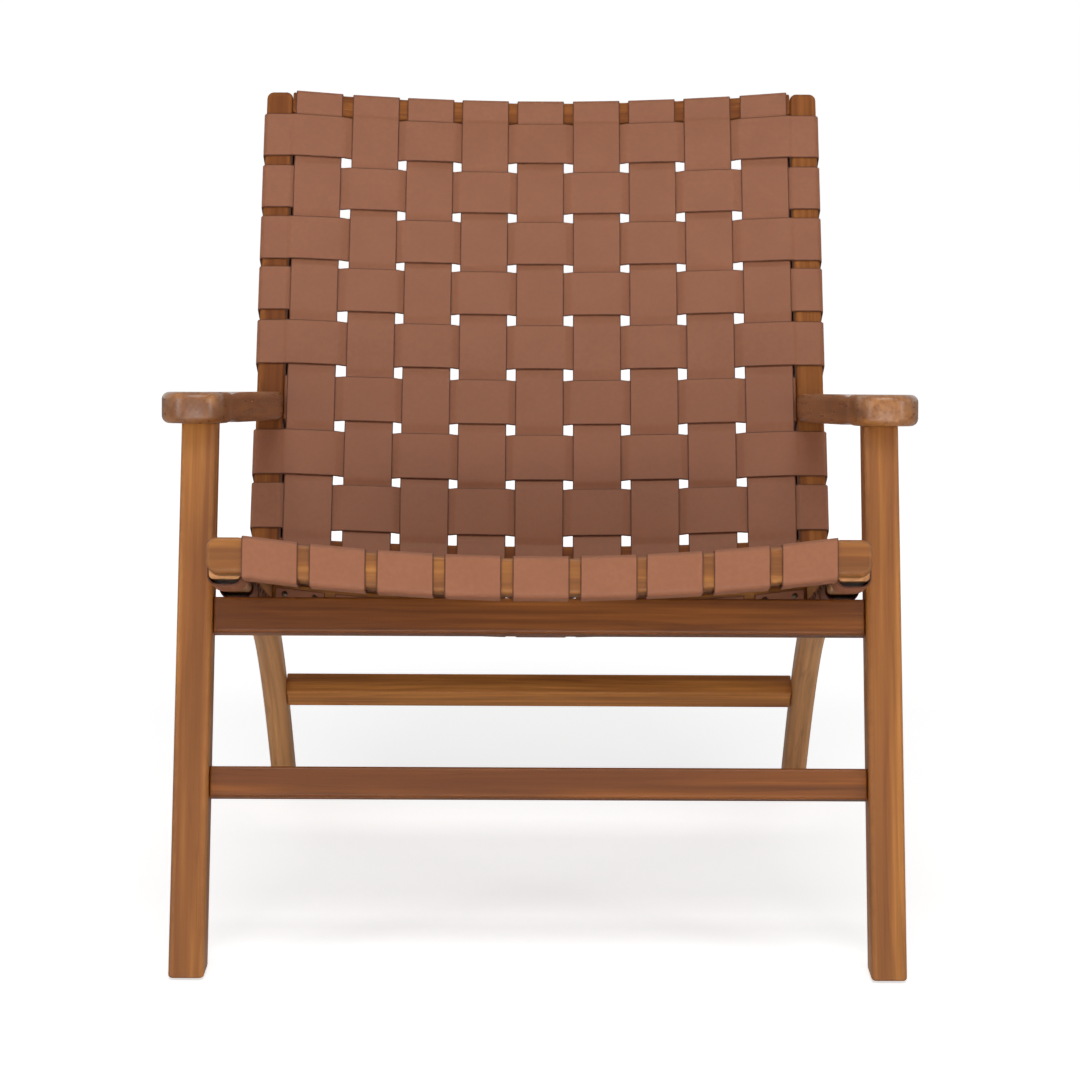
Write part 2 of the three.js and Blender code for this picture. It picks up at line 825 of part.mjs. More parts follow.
// A straight rail between the front legs, in the middle of their depth.
function frontCrossRail(level, height) {
  const above = -legDepth / 2;
  const half = crossRailThickness / 2;
  const outline = flatShape([
    [level - height / 2, above - half],
    [level + height / 2, above - half],
    [level + height / 2, above + half],
    [level - height / 2, above + half],
  ]);
  const width = legInner - clearance;
  const body = solidOf(easedBar(outline, width), legFrame);
  return joinAll(
    body,
    Object.values(sides).map((side) => crossRailTenon(side, level, height, 0)),
  );
}

// A bar across the chair whose four long edges are eased.
function easedBar(outline, halfWidth) {
  const corners = outline.getPoints();
  const points = corners.flatMap((corner, index) => {
    const before = corners[(index + corners.length - 1) % corners.length];
    const after = corners[(index + 1) % corners.length];
    return [before, after].map((other) => {
      const way = other.clone().sub(corner).normalize().multiplyScalar(crossRailEase);
      const eased = corner.clone().add(way);
      return [eased.x, eased.y];
    });
  });
  return slabAcross(flatShape(points), -halfWidth, halfWidth, 0);
}

function rearStretcher() {
  const half = [rearStretcherHeight / 2, rearStretcherThickness / 2];
  const outline = flatShape([
    [-half[0], -half[1]],
    [half[0], -half[1]],
    [half[0], half[1]],
    [-half[0], half[1]],
  ]);
  const body = solidOf(easedBar(outline, memberInner - clearance), rearLegFrameAt(rearStretcherLevel));
  return joinAll(
    body,
    Object.values(sides).map((side) => rearStretcherTenon(side, 0)),
  );
}

// The bolt through a front leg into its seat rail.
function seatBolt(side) {
  const tip = frameHalfWidth - boltGrip;
  const under = legOuter - boltHeadSink - boltHeadHeight;
  const shank = boltHole(side, tip, under + boltHeadHeight / 2, boltRadius);
  const head = boltHole(side, under, under + boltHeadHeight, boltHeadRadius);
  return shank.add(head);
}

// The washer that keeps a front leg off its seat rail.
function legSpacer(side) {
  const from = frameHalfWidth + clearance;
  const to = legInner - clearance;
  const disc = boltHole(side, from, to, spacerRadius);
  return disc.subtract(boltHole(side, from - overrun, to + overrun, boltRadius + clearance));
}

// A glide with a flat underside and a spike up into the foot.
function glide(side, across, depth) {
  const profile = [
    new THREE.Vector2(0, 0),
    new THREE.Vector2(glideRadius - glideEase, 0),
    new THREE.Vector2(glideRadius, glideEase),
    new THREE.Vector2(glideRadius, glideHeight),
    new THREE.Vector2(0, glideHeight),
  ];
  const disc = new THREE.LatheGeometry(profile, roundSides).rotateX(quarterTurn);
  const place = [side * across, depth];
  const body = solidOf(disc.translate(...place, 0));
  return body.add(solidOf(glideSpike(0).translate(...place, glideHeight)));
}

function finish(color, roughness, metalness) {
  return () => new THREE.MeshStandardMaterial({ color, roughness, metalness });
}

const teak = finish(teakColour, 0.5, 0);
const leather = finish(leatherColour, 0.55, 0);
const steel = finish(steelColour, 0.35, 1);
const plastic = finish(glideColour, 0.6, 0);

const chair = new THREE.Group();

function addPiece(name, geometry, material) {
  const piece = new THREE.Mesh(geometry, material());
  piece.name = name;
  chair.add(piece);
}

for (const [name, side] of Object.entries(sides)) {
  addPiece(`front_leg_${name}`, geometryOf(frontLeg(side)), teak);
  addPiece(`arm_${name}`, geometryOf(arm(side)), teak);
  addPiece(`seat_rail_${name}`, geometryOf(seatRail(side)), teak);
  addPiece(`back_stile_${name}`, geometryOf(backStile(side)), teak);
  addPiece(`seat_bolt_${name}`, geometryOf(seatBolt(side)), steel);
  addPiece(`leg_spacer_${name}`, geometryOf(legSpacer(side)), steel);
  addPiece(`arm_screw_${name}`, geometryOf(screwAlongArm(side, 0, screwHeadHeight)), steel);
  addPiece(`glide_front_${name}`, geometryOf(glide(side, frontFootAcross, frontGlideDepth)), plastic);
  addPiece(`glide_rear_${name}`, geometryOf(glide(side, memberMiddle, rearGlideDepth)), plastic);
}

addPiece("seat_front_rail", geometryOf(seatFrontRail()), teak);
addPiece("seat_rear_rail", geometryOf(betweenMembersRail(seatPanel, seatPanel.endRail)), teak);
addPiece("back_bottom_rail", geometryOf(betweenMembersRail(backPanel, backPanel.startRail)), teak);
addPiece("back_top_rail", geometryOf(betweenMembersRail(backPanel, backPanel.endRail)), teak);
addPiece("front_apron", geometryOf(frontCrossRail(apronLevel, apronHeight)), teak);
addPiece("front_stretcher", geometryOf(frontCrossRail(frontStretcherLevel, frontStretcherHeight)), teak);
addPiece("rear_stretcher", geometryOf(rearStretcher()), teak);

for (const [panelName, panel] of Object.entries({ seat: seatPanel, back: backPanel })) {
  for (let column = 1; column <= longStraps; column += 1) {
    addPiece(`${panelName}_strap_${column}`, longStrap(panel, column), leather);
  }
  panel.crossPlaces.forEach((_, index) => {
    addPiece(`${panelName}_cross_strap_${index + 1}`, crossStrap(panel, index + 1), leather);
  });
}

// The chair's box is centred over the origin from front to back.
const box = new THREE.Box3().setFromObject(chair);
chair.position.y = -(box.min.y + box.max.y) / 2;

const model = new THREE.Group();
model.add(chair);

export default model;
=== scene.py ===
"""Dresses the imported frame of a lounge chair: oiled teak, and a seat and back of woven leather.

Metres. X runs across the chair, -Y is the front and +Z is up. Side views use a depth behind the
front feet and a height above the floor.
"""

import logging
import math
from collections.abc import Callable, Sequence
from dataclasses import dataclass, field, replace
from enum import Enum
from functools import cached_property

import bmesh
import bpy
import numpy as np
from mathutils import Matrix, Vector


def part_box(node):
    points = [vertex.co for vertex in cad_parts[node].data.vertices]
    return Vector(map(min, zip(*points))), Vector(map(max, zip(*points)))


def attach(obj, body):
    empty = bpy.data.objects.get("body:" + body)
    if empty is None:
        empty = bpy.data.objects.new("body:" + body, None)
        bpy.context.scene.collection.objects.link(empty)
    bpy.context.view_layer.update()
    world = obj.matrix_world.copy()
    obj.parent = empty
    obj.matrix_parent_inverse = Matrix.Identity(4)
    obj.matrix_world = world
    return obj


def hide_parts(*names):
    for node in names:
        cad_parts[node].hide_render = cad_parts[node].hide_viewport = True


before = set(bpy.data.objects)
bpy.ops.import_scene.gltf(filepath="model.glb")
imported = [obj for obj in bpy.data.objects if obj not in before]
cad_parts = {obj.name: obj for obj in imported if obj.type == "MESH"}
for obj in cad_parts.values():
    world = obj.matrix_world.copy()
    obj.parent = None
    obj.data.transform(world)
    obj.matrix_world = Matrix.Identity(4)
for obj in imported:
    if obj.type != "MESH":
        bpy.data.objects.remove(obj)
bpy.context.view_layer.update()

log = logging.getLogger("lounge_chair")
Array = np.ndarray
Pair = tuple[float, float]
Spot = tuple[float, float, float]
Colour = tuple[int, int, int]
Faces = list[list[int]]
Row = tuple[float, float, float, float]
Socket = bpy.types.NodeSocket
Material = bpy.types.Material
Tree = bpy.types.NodeTree
Trim = Callable[[Array], Array]


class Side(Enum):
    """A side of the chair, with its sign on X."""

    LEFT = -1
    RIGHT = 1

    @property
    def label(self) -> str:
        """The side's name at the end of a node's name."""
        return self.name.lower()


class Slot(Enum):
    """Names of the material slots."""

    TEAK = "teak"
    LEATHER = "leather"
    STEEL = "steel"
    GLIDE = "glide"


# ---- Numbers that aren't sizes of the chair, in metres where they are lengths

SAME_POINT = 1e-6  # Closer corners of a line count as one.
LEAST_SPACE = 0.3  # The least space between stations, as a share of the widest.
CROSSING_STEPS = 900  # Steps along a line in a search for where it crosses something.
END_STATION = 0.001  # From the start of a rounded end to the next station.
END_SHARE = 0.02  # The most of that, as a share of the length between the rounded ends.
LEAST_CORNER = 0.15  # The least radius of a corner in a rounded end, as a share of the whole.
END_RINGS, RIM_RINGS = 6, 7  # Rings of a rounded end and of a slab's rim.
LEAST_MITRE = 0.6  # Holds a rim's offset back at a sharp corner.
FACE_BORDER = 0.0006  # A narrow border of a slab's face, which keeps its shading flat.
DOME_RINGS = ((0.9, -0.5), (1.0, 0.0), (0.82, 0.62), (0.3, 1.0))  # Shares of radius and height.
REAR_LEG_STEPS = 500  # Steps of the rear leg's curve.
RAIL_STRIDE = 12  # Every so many of them is a corner of the seat rail's line.
RAIL_END_STEPS = 7  # Steps of the front rail's rounded ends.
ARM_STEPS = (18, 10, 22)  # Steps of an arm's outline: the bar, the flare and the nose.
BENT_STEP, STRAIGHT_STEP = 0.012, 0.2  # The widest spaces between stations of the timbers.
RAIL_STATIONS, BAR_STATIONS = 60, 24  # Stations across the dished rails and the bars.
BLUR_STEPS = 3  # How far, in steps, a cross strap rounds the corners of the dished rails.
THREAD_ROWS = 6  # Rows of the profile in one turn of a thread.
TAPER_LENGTH, TAPER_TIP = 0.8, 0.55  # A screw's point: its length and tip, in shank radii.
SHARP_ANGLE = math.radians(42)  # Where the shading breaks.
FIRST_LOT = 11  # The seed of the first piece's place in the pattern.
LOT_RANGE = (0.06, 3.0, 0.06)  # How far the pattern shifts, across, along and through.
STRAP_LOT = (3.0, 1.0, 0.0)  # Shares of that for a strap, whose two faces stay apart.
TURNED_LOT = 0.1  # The share of that for a turned piece.

# ---- Shapes


@dataclass(frozen=True)
class SidePlane:
    """Axes in the chair's side plane: along a member, and off its face towards the sitter.

    depth and height place the origin, and rise is the member's angle above the horizontal.
    """

    depth: float
    height: float
    rise: float

    def flat(self, along: Array | float, above: Array | float) -> Array:
        """Places in the plane: the origin, plus along its axis, plus above off the axis.

        Args:
            along: Distances along the member.
            above: Distances off its face.

        Returns:
            Depths and heights, in the last axis.
        """
        cos, sin = math.cos(self.rise), math.sin(self.rise)
        depth = self.depth + along * cos - above * sin
        height = self.height + along * sin + above * cos
        return np.stack(np.broadcast_arrays(depth, height), axis=-1)

    def read(self, place: Array) -> Array:
        """The reverse of flat.

        Args:
            place: Depths and heights, in the last axis.

        Returns:
            Distances along and above, in the last axis.
        """
        cos, sin = math.cos(self.rise), math.sin(self.rise)
        depth = place[..., 0] - self.depth
        height = place[..., 1] - self.height
        return np.stack([depth * cos + height * sin, height * cos - depth * sin], axis=-1)


class Course:
    """A line in a plane that a section is carried along, read by distance from its start."""

    def __init__(self, points: Array) -> None:
        """Measures the line.

        Args:
            points: Its corners, one a row.
        """
        steps = np.diff(points, axis=0)
        lengths = np.hypot(steps[:, 0], steps[:, 1])
        kept = lengths > SAME_POINT
        self.points = points[np.append(True, kept)]
        ways = steps[kept] / lengths[kept, None]
        self.reach = np.append(0.0, np.cumsum(lengths[kept]))
        before = np.vstack([ways[:1], ways])
        after = np.vstack([ways, ways[-1:]])
        mean = before + after
        self.ways = mean / np.linalg.norm(mean, axis=1, keepdims=True)

    @property
    def length(self) -> float:
        """The whole length of the line."""
        return float(self.reach[-1])

    def at(self, reach: Array, offset: Array) -> Array:
        """Places beside the line: its point at a distance, plus an offset along its normal.

        Args:
            reach: Distances from the start.
            offset: Distances to the left of the line.

        Returns:
            Places in the plane, in the last axis.
        """
        place = [np.interp(reach, self.reach, self.points[:, axis]) for axis in (0, 1)]
        way = [np.interp(reach, self.reach, self.ways[:, axis]) for axis in (0, 1)]
        size = np.hypot(way[0], way[1])
        return np.stack(
            [place[0] - offset * way[1] / size, place[1] + offset * way[0] / size], axis=-1
        )

    def stations(self, step: float) -> Array:
        """Distances at every corner of the line, with even ones between them.

        Args:
            step: The widest space wanted.

        Returns:
            Rising distances.
        """
        even = np.linspace(0, self.length, math.ceil(self.length / step) + 1)
        near = np.abs(even[:, None] - self.reach[None, :]).min(axis=1)
        return np.union1d(self.reach, even[near > step * LEAST_SPACE])

    def crossing(self, offset: Array, measure: Callable[[Array], Array]) -> Array:
        """Where lines beside this one pass from negative to positive in a measure.

        Args:
            offset: The offsets of the lines.
            measure: Gives a signed number for places in the plane.

        Returns:
            The distance of the first such place on each line.
        """
        reach = np.linspace(0, self.length, CROSSING_STEPS)
        values = measure(self.at(reach[:, None], offset[None, :]))
        after = np.clip(np.argmax(values > 0, axis=0), 1, None)
        column = np.arange(offset.size)
        low, high = values[after - 1, column], values[after, column]
        share = -low / (high - low)
        return reach[after - 1] + share * (reach[after] - reach[after - 1])


@dataclass(frozen=True)
class Section:
    """A rounded rectangle as shares: each point is a share of the flats plus one of the corner."""

    flat: Array
    corner: Array
    edge: Array

    @staticmethod
    def make(across: Sequence[float], above: Sequence[float], steps: int) -> "Section":
        """Lists the points round a rounded rectangle, from its right side over its top.

        Args:
            across: Shares of the half flat where the top and underside have points.
            above: Shares of the half flat where the two sides have points.
            steps: Steps of each rounded corner.

        Returns:
            The section.
        """
        turn = np.linspace(0, math.pi / 2, steps + 1)
        flats = [np.array(above), np.array(across)[::-1]]
        flats = flats + [-part for part in flats]
        signs = [(1, 1), (-1, 1), (-1, -1), (1, -1)]
        ways = [(1, 0), (0, 1), (-1, 0), (0, -1)]
        flat, corner, edge = [], [], []
        for quarter in range(4):
            shares, way = flats[quarter], np.array(ways[quarter], dtype=float)
            level = np.tile(way, (shares.size, 1))
            level[:, 1 - quarter % 2] = shares
            flat += [level, np.tile(signs[quarter], (steps + 1, 1)).astype(float)]
            angle = turn + quarter * math.pi / 2
            corner += [np.tile(way, (shares.size, 1)), np.stack([np.cos(angle), np.sin(angle)], 1)]
            edge += [np.zeros(shares.size), np.ones(steps + 1)]
        return Section(np.vstack(flat), np.vstack(corner), np.concatenate(edge))

    def at(self, half_across: Array, half_above: Array, radius: Array) -> tuple[Array, Array]:
        """The section's points at given sizes, (half - radius) * flat + radius * corner.

        Args:
            half_across: Half widths, one a station.
            half_above: Half depths, one a station.
            radius: Corner radii, one a station.

        Returns:
            The points' places across and above, a row for each station.
        """
        across, above = (
            (half - radius)[:, None] * self.flat[:, axis] + radius[:, None] * self.corner[:, axis]
            for axis, half in enumerate((half_across, half_above))
        )
        return across, above


BAR_SECTION = Section.make((-0.94, 0.94), (-0.94, 0.94), 5)
BAR_FLATS = {Side.RIGHT: 0, Side.LEFT: 16}  # The first columns of its outer flats.
BAR_REAR_FLAT = 24  # The first column of the flat away from the sitter.
STRAP_SECTION = Section.make((-0.985, -0.93, -0.8, -0.4, 0, 0.4, 0.8, 0.93, 0.985), (), 4)


@dataclass
class Grid:
    """A tube of points: rows along it, columns round it, with what the finishes read."""

    place: Array
    across: Array
    reach: Array
    above: Array
    edge: Array

    @property
    def material_places(self) -> Array:
        """Each point's place in the straight piece: across, along and through it."""
        return np.stack([self.across, self.reach, self.above], axis=-1)


@dataclass(frozen=True)
class Rounding:
    """How an end is rounded: how far back along the piece, and how far in across and above."""

    along: float
    across: float
    above: float

    @staticmethod
    def even(radius: float) -> "Rounding":
        """The same radius in every direction."""
        return Rounding(radius, radius, radius)


def carry(
    section: Section,
    course: Course,
    half: Pair,
    radius: Sequence[Pair],
    trims: tuple[Trim, Trim],
    ends: tuple[Rounding, Rounding],
    step: float,
) -> Grid:
    """Carries a section along a line, and rounds its two ends.

    A point lies at course(reach) + above * normal, where reach runs from one trim to the other.
    Near an end the section shrinks by the rounding's across and above * (1 - cos t), while
    reach stops along * (1 - sin t) short of the trim, with t from 0 to a quarter turn.

    Args:
        section: The section's shares.
        course: The line.
        half: The section's half width across and half depth above.
        radius: Distances along the line, each with the radius of the corners there.
        trims: The first and last reach for an offset above the line.
        ends: How the first and the last end are rounded.
        step: The widest space between stations.

    Returns:
        The grid, with places in the line's plane.
    """
    first, last = ends
    turn = np.linspace(0, math.pi / 2, END_RINGS)
    stations = course.stations(step)
    low, high = (float(trim(np.zeros(1))[0]) for trim in trims)
    inner, room = low + first.along, high - last.along - low - first.along
    clear, near = step * LEAST_SPACE, min(END_STATION, END_SHARE * room)
    body = stations[(stations > inner + clear) & (stations < inner + room - clear)]
    body = np.union1d(body, [inner, inner + near, inner + room - near, inner + room])
    start, finish = turn[:0:-1], turn[1:]
    level = np.zeros(body.size)

    def shrunk(at_first: float, at_last: float) -> Array:
        """How far each ring shrinks in one direction."""
        rounded = (at_first * (1 - np.cos(start)), level, at_last * (1 - np.cos(finish)))
        return np.concatenate(rounded)

    across_in, above_in = shrunk(first.across, last.across), shrunk(first.above, last.above)
    nudge = np.concatenate([-first.along * np.sin(start), level, last.along * np.sin(finish)])
    share = np.concatenate([np.zeros(start.size), (body - inner) / room, np.ones(finish.size)])
    corner = np.interp(inner + share * room + nudge, *np.array(radius).T)
    corner = np.maximum(corner - np.minimum(across_in, above_in), corner * LEAST_CORNER)
    across, above = section.at(half[0] - across_in, half[1] - above_in, corner)
    begins = trims[0](above.ravel()).reshape(above.shape) + first.along
    stops = trims[1](above.ravel()).reshape(above.shape) - last.along
    reach = begins + share[:, None] * (stops - begins) + nudge[:, None]
    rounded = (np.maximum(across_in, above_in) > 0).astype(float)
    edge = np.maximum(section.edge[None, :], rounded[:, None])
    return Grid(course.at(reach, above), across, reach, above, edge)


def fixed(reach: float) -> Trim:
    """A square cut at one distance along a line."""
    return lambda above: np.full(above.shape, reach)


def tube_faces(rows: int, columns: int) -> Faces:
    """The quads of a tube's wall and its two end faces.

    Args:
        rows: Rings along the tube.
        columns: Points round each ring.

    Returns:
        Each face's points.
    """
    index = np.arange(rows * columns).reshape(rows, columns)
    beside = np.roll(index, -1, axis=1)
    quads = np.stack([index[:-1], beside[:-1], beside[1:], index[1:]], axis=-1)
    caps = [index[0, ::-1].tolist(), index[-1].tolist()]
    return quads.reshape(-1, 4).tolist() + caps


def ladder_faces(rows: int, pairs: int) -> Faces:
    """The quads of a slab's rounded wall, and of its two faces rung by rung.

    Args:
        rows: Rings through the slab's thickness.
        pairs: Pairs of points that face each other across the slab.

    Returns:
        Each face's points.
    """
    columns = pairs * 2
    wall = tube_faces(rows, columns)[:-2]
    index = np.arange(rows * columns).reshape(rows, columns)
    rungs = []
    for ring in (index[0], index[-1]):
        near, far = ring[:pairs], ring[:pairs - 1:-1]
        rungs.append(np.stack([near[:-1], near[1:], far[1:], far[:-1]], axis=-1))
    return wall + np.vstack(rungs).tolist()


@dataclass
class Slab:
    """Rings of a slab: outline points and their height through the thickness."""

    outline: Array
    height: Array
    edge: Array

    @property
    def faces(self) -> Faces:
        """Each face's points."""
        rings, points = self.outline.shape[:2]
        return ladder_faces(rings, points // 2)


def eased_slab(near: Array, far: Array, thickness: float, ease: float) -> Slab:
    """A slab between two lines that face each other, with both rims rounded.

    A ring lies on the outline moved inwards by ease * (1 - sin t), at a height of
    ease * (1 - cos t) from the face, with t from 0 at the face to a quarter turn at the wall.

    Args:
        near: One side of the outline.
        far: The other side, point for point.
        thickness: The slab's thickness.
        ease: The radius of its rims.

    Returns:
        The rings.
    """
    outline = np.vstack([near, far[::-1]])
    following = np.roll(outline, -1, axis=0)
    ways = (outline - np.roll(outline, 1, axis=0), following - outline)
    area = np.sum(outline[:, 0] * following[:, 1] - outline[:, 1] * following[:, 0])
    turned = [np.stack([-way[:, 1], way[:, 0]], axis=1) * np.sign(area) for way in ways]
    normals = [way / np.linalg.norm(way, axis=1, keepdims=True) for way in turned]
    mitre = normals[0] + normals[1]
    mitre /= np.linalg.norm(mitre, axis=1, keepdims=True)
    mitre /= np.maximum(np.sum(mitre * normals[0], axis=1, keepdims=True), LEAST_MITRE)
    turn = np.linspace(0, math.pi / 2, RIM_RINGS)
    inset = np.append(ease + FACE_BORDER, ease * (1 - np.sin(turn)))
    level = np.append(0.0, ease * (1 - np.cos(turn)))
    inset = np.append(inset, inset[::-1])
    level = np.append(level, thickness - level[::-1])
    rings = outline[None] + inset[:, None, None] * mitre[None]
    is_rim = ((inset > 0) & (inset < ease)).astype(float)
    edge, height = (np.repeat(row[:, None], len(outline), axis=1) for row in (is_rim, level))
    return Slab(rings, height, edge)


@dataclass(frozen=True)
class Bore:
    """A round blind hole from a flat of a carried section into the wood.

    Places and ways are across, along and above the straight piece. column is the first of the
    two columns of points that bound the flat.
    """

    mouth: Spot
    way: Spot
    normal: Spot
    column: int
    radius: float
    depth: float
    chamfer: float = 0.0004
    steps: int = 48

    @property
    def rings(self) -> Array:
        """The hole's rings: two parallel to the flat with the chamfer between, and its bottom.

        A ring is centre + radius * (cos a * u + sin a * v), with u and v square to the hole's
        way. The first two are slid along the way onto the flat and the plane under it.
        """
        centre, way, normal = (np.array(part) for part in (self.mouth, self.way, self.normal))
        over = np.array([0.0, 1.0, 0.0]) - way[1] * way
        over /= np.linalg.norm(over)
        beside = np.cross(way, over)
        angle = np.linspace(-math.pi, math.pi, self.steps, endpoint=False)[:, None]
        circle = np.cos(angle) * over + np.sin(angle) * beside
        rings = []
        for radius, under in ((self.radius + self.chamfer, 0.0), (self.radius, self.chamfer)):
            slide = (under + radius * circle @ normal) / (way @ normal)
            rings.append(centre + radius * circle - slide[:, None] * way)
        rings.append(centre + self.radius * circle - self.depth * way)
        return np.stack(rings)

    def faces(self, places: Array) -> tuple[list[int], Faces]:
        """The faces that open a carried section's wall into the hole.

        The flat's quad becomes four fans, one at each of its corners, and four triangles.

        Args:
            places: The section's places in the straight piece, rows along it.

        Returns:
            The quad to leave out and the faces to add, numbered after the section's points.
        """
        rows, columns = places.shape[:2]
        row = int(np.searchsorted(places[:, self.column, 1], self.mouth[1])) - 1
        low, high = row * columns + self.column, (row + 1) * columns + self.column
        quad = [low, low + 1, high + 1, high]
        step = places[row, self.column + 1] - places[row, self.column]
        beside = np.cross(self.way, (0.0, 1.0, 0.0)) @ step
        corners = [low, high, high + 1, low + 1] if beside > 0 else [low + 1, high + 1, high, low]
        first, quarter = rows * columns, self.steps // 4
        ring = first + np.arange(self.steps + 1) % self.steps
        fans = [[corners[k // quarter], *ring[k : k + 2].tolist()] for k in range(self.steps)]
        ties = [[corners[k], corners[(k + 1) % 4], int(ring[(k + 1) * quarter])] for k in range(4)]
        wall = np.array(tube_faces(3, self.steps)[:-2]) + first
        bottom = (first + 2 * self.steps + np.arange(self.steps)).tolist()
        return quad, fans + ties + wall.tolist() + [bottom]


@dataclass(frozen=True)
class Turned:
    """A turned piece: a profile swept round an axis, with a thread or a hexagon where wanted.

    Each row of the profile is a place along the axis and a radius, then the share of a hexagon
    in its outline and the depth of its thread.
    """

    profile: tuple[Row, ...]
    pitch: float = 1.0
    steps: int = 48

    @staticmethod
    def smooth(corners: Sequence[Pair]) -> "Turned":
        """A round piece with no thread, from places along its axis and radii."""
        return Turned(tuple((along, radius, 0.0, 0.0) for along, radius in corners))

    @property
    def grid(self) -> Array:
        """Places along the axis and two across it, a row for each place in the profile.

        The radius at an angle a is r * (1 - h + h * cos 30 / cos(a mod 60 - 30)), less
        d * |2 * fract(along / pitch - a / 360) - 1| for the thread.
        """
        along, radius, hexagon, depth = (column[:, None] for column in np.array(self.profile).T)
        angle = np.linspace(0, 2 * math.pi, self.steps, endpoint=False)[None, :]
        sixth = math.pi / 3
        side = math.cos(sixth / 2) / np.cos(np.mod(angle, sixth) - sixth / 2)
        turn = np.mod(along / self.pitch - angle / (2 * math.pi), 1.0)
        reach = radius * (1 + hexagon * (side - 1)) - depth * np.abs(2 * turn - 1)
        return np.stack([along + 0 * angle, reach * np.cos(angle), reach * np.sin(angle)], axis=-1)


def domes(middles: Array, radius: float, height: float, steps: int = 8) -> tuple[Array, Faces]:
    """Low domes on a surface, each of four rings, the first of them sunk into the surface.

    Args:
        middles: Each dome's place on the surface, in two numbers.
        radius: Its radius.
        height: Its height.
        steps: Points round each ring.

    Returns:
        Places on the surface and above it, a row for each dome, and each face's points.
    """
    angle = np.linspace(0, 2 * math.pi, steps, endpoint=False)
    circle = np.stack([np.cos(angle), np.sin(angle)], axis=1)
    rings = [
        np.column_stack([size * radius * circle, np.full(steps, rise * height)])
        for size, rise in DOME_RINGS
    ]
    shape = np.concatenate(rings)
    placed = np.pad(middles, ((0, 0), (0, 1)))[:, None, :] + shape[None]
    one, starts = tube_faces(len(rings), steps), range(0, len(middles) * len(shape), len(shape))
    return placed, [[start + corner for corner in face] for start in starts for face in one]


def smooth_step(share: Array) -> Array:
    """Runs from 0 to 1 with level ends: 3 s^2 - 2 s^3."""
    held = np.clip(share, 0, 1)
    return held * held * (3 - 2 * held)


def arc(centre: Pair, radius: float, start: float, end: float, steps: int) -> Array:
    """Points on a circle's arc, centre + radius * (cos a, sin a).

    Args:
        centre: The circle's centre.
        radius: Its radius.
        start: The first angle.
        end: The last angle.
        steps: Steps between them.

    Returns:
        The points, one a row.
    """
    angle = np.linspace(start, end, steps + 1)
    return np.array(centre) + radius * np.stack([np.cos(angle), np.sin(angle)], axis=1)


def bezier(corners: Sequence[Array], steps: int) -> Array:
    """Points on a Bezier curve, by blending its corners pair by pair.

    Args:
        corners: The curve's control points.
        steps: Steps along it.

    Returns:
        The points, one a row.
    """
    share = np.linspace(0, 1, steps + 1)[:, None]
    level = [np.tile(np.array(corner, dtype=float), (steps + 1, 1)) for corner in corners]
    while len(level) > 1:
        level = [one + share * (two - one) for one, two in zip(level[:-1], level[1:])]
    return level[0]


# ---- Node sheets


def linear(red: float, green: float, blue: float) -> Row:
    """A colour as it shows on a screen, in light: ((s + 0.055) / 1.055)^2.4 or s / 12.92.

    Args:
        red: Its red, 0 to 255.
        green: Its green.
        blue: Its blue.

    Returns:
        The light of the three, and full cover.
    """
    shown = [value / 255 for value in (red, green, blue)]
    light = [s / 12.92 if s <= 0.04045 else ((s + 0.055) / 1.055) ** 2.4 for s in shown]
    return (*light, 1.0)


